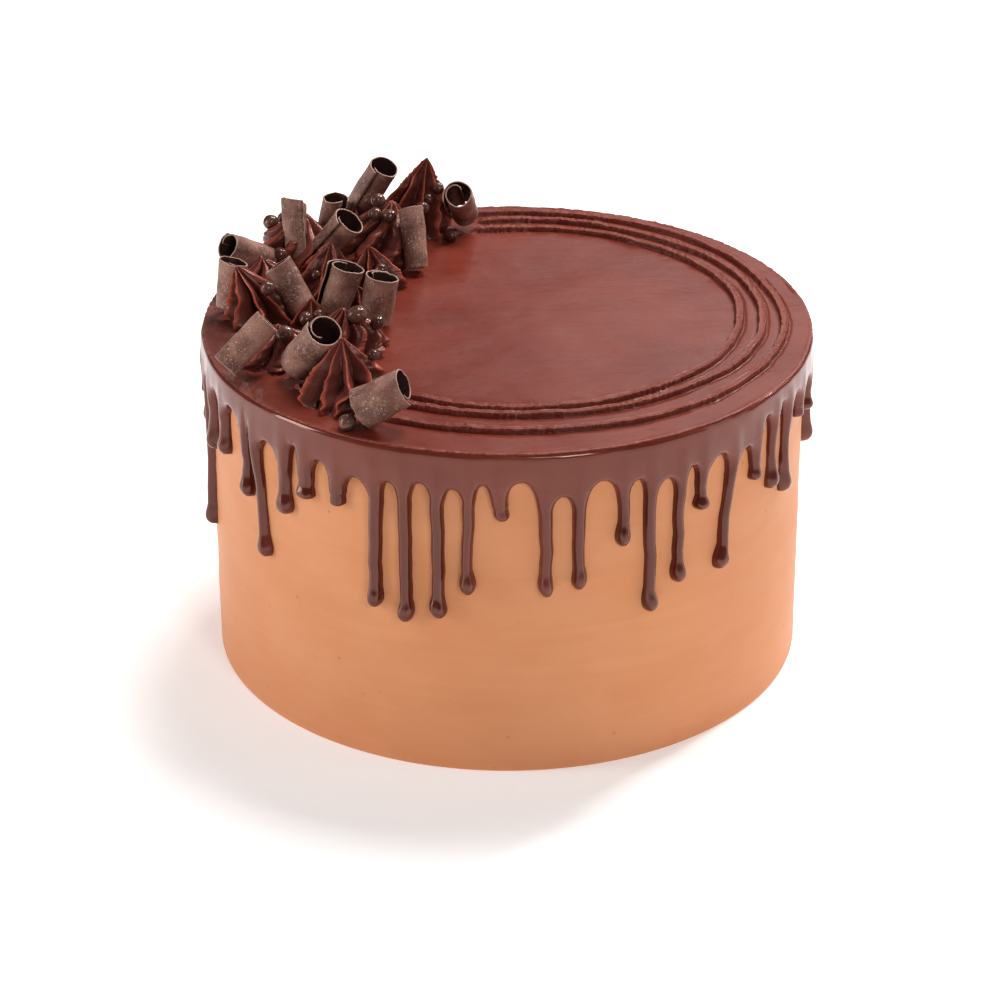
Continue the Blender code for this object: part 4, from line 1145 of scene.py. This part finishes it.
def build_floor():
    """A plain pale floor, far larger than the view."""
    corners = [(x * FLOOR_REACH, y * FLOOR_REACH, 0.0)
               for x, y in ((-1, -1), (1, -1), (1, 1), (-1, 1))]
    mesh = bpy.data.meshes.new("floor")
    mesh.from_pydata(corners, [], [(0, 1, 2, 3)])
    floor = bpy.data.objects.new("floor", mesh)
    made = bpy.data.materials.new("floor_white")
    made.use_nodes = True
    shader = made.node_tree.nodes["Principled BSDF"]
    shader.inputs["Base Color"].default_value = (FLOOR_GREY, FLOOR_GREY, FLOOR_GREY, 1.0)
    shader.inputs["Roughness"].default_value = FLOOR_ROUGHNESS
    shader.inputs["Emission Color"].default_value = (1.0, 1.0, 1.0, 1.0)
    shader.inputs["Emission Strength"].default_value = FLOOR_GLOW
    mesh.materials.append(made)
    bpy.context.scene.collection.objects.link(floor)


def add_light(name, place, aim, size, power):
    """A soft light at a place, facing a point."""
    light = bpy.data.lights.new(name, "AREA")
    light.shape = "RECTANGLE"
    light.size, light.size_y = size
    light.energy = power
    made = bpy.data.objects.new(name, light)
    made.location = place
    made.rotation_euler = (Vector(aim) - Vector(place)).to_track_quat("-Z", "Y").to_euler()
    bpy.context.scene.collection.objects.link(made)


def light_studio():
    """A dim white room, and soft lights above, behind, in front and on both sides."""
    world = bpy.data.worlds.new("studio")
    world.use_nodes = True
    background = world.node_tree.nodes["Background"]
    background.inputs["Color"].default_value = (1.0, 1.0, 1.0, 1.0)
    background.inputs["Strength"].default_value = ROOM_STRENGTH
    scene = bpy.context.scene
    scene.world = world
    scene.view_settings.view_transform = "Standard"
    scene.view_settings.look = "None"
    for row in LIGHTS:
        add_light(*row)


def add_camera():
    """The camera looks down on the cake from the front."""
    camera = bpy.data.cameras.new("camera")
    camera.lens = CAMERA_LENS
    camera.shift_x = CAMERA_SHIFT
    made = bpy.data.objects.new("camera", camera)
    made.location = (0.0, -CAMERA_DISTANCE * math.cos(CAMERA_PITCH),
                     CAMERA_AIM_HEIGHT + CAMERA_DISTANCE * math.sin(CAMERA_PITCH))
    made.rotation_euler = (0.5 * math.pi - CAMERA_PITCH, 0.0, 0.0)
    bpy.context.scene.collection.objects.link(made)
    bpy.context.scene.camera = made


def main():
    """Every piece with its material, and the studio round them."""
    homes = pearl_homes()
    add_camera()
    light_studio()
    build_floor()
    build_side(finish("buttercream", paint_buttercream, **CREAM_GLOSS))
    carriers = [build_icing(finish("chocolate_icing", paint_icing, **WARM_GLOSS))]
    build_glaze(finish("chocolate_glaze", paint_glaze, **POURED_GLOSS))
    piped = finish("piped_chocolate", paint_piped, **WARM_GLOSS)
    for number, name in enumerate(ROSETTES):
        carriers.append(build_rosette(name, 800 + number, piped))
    shaved = finish("shaved_chocolate", paint_shaved, **WARM_GLOSS)
    for number in range(len(CURLS)):
        build_curl(number, shaved)
    centres = settle_pearls(carriers)
    build_pearls(centres, homes, finish("chocolate_pearl", paint_pearl, **PEARL_GLOSS))


main()
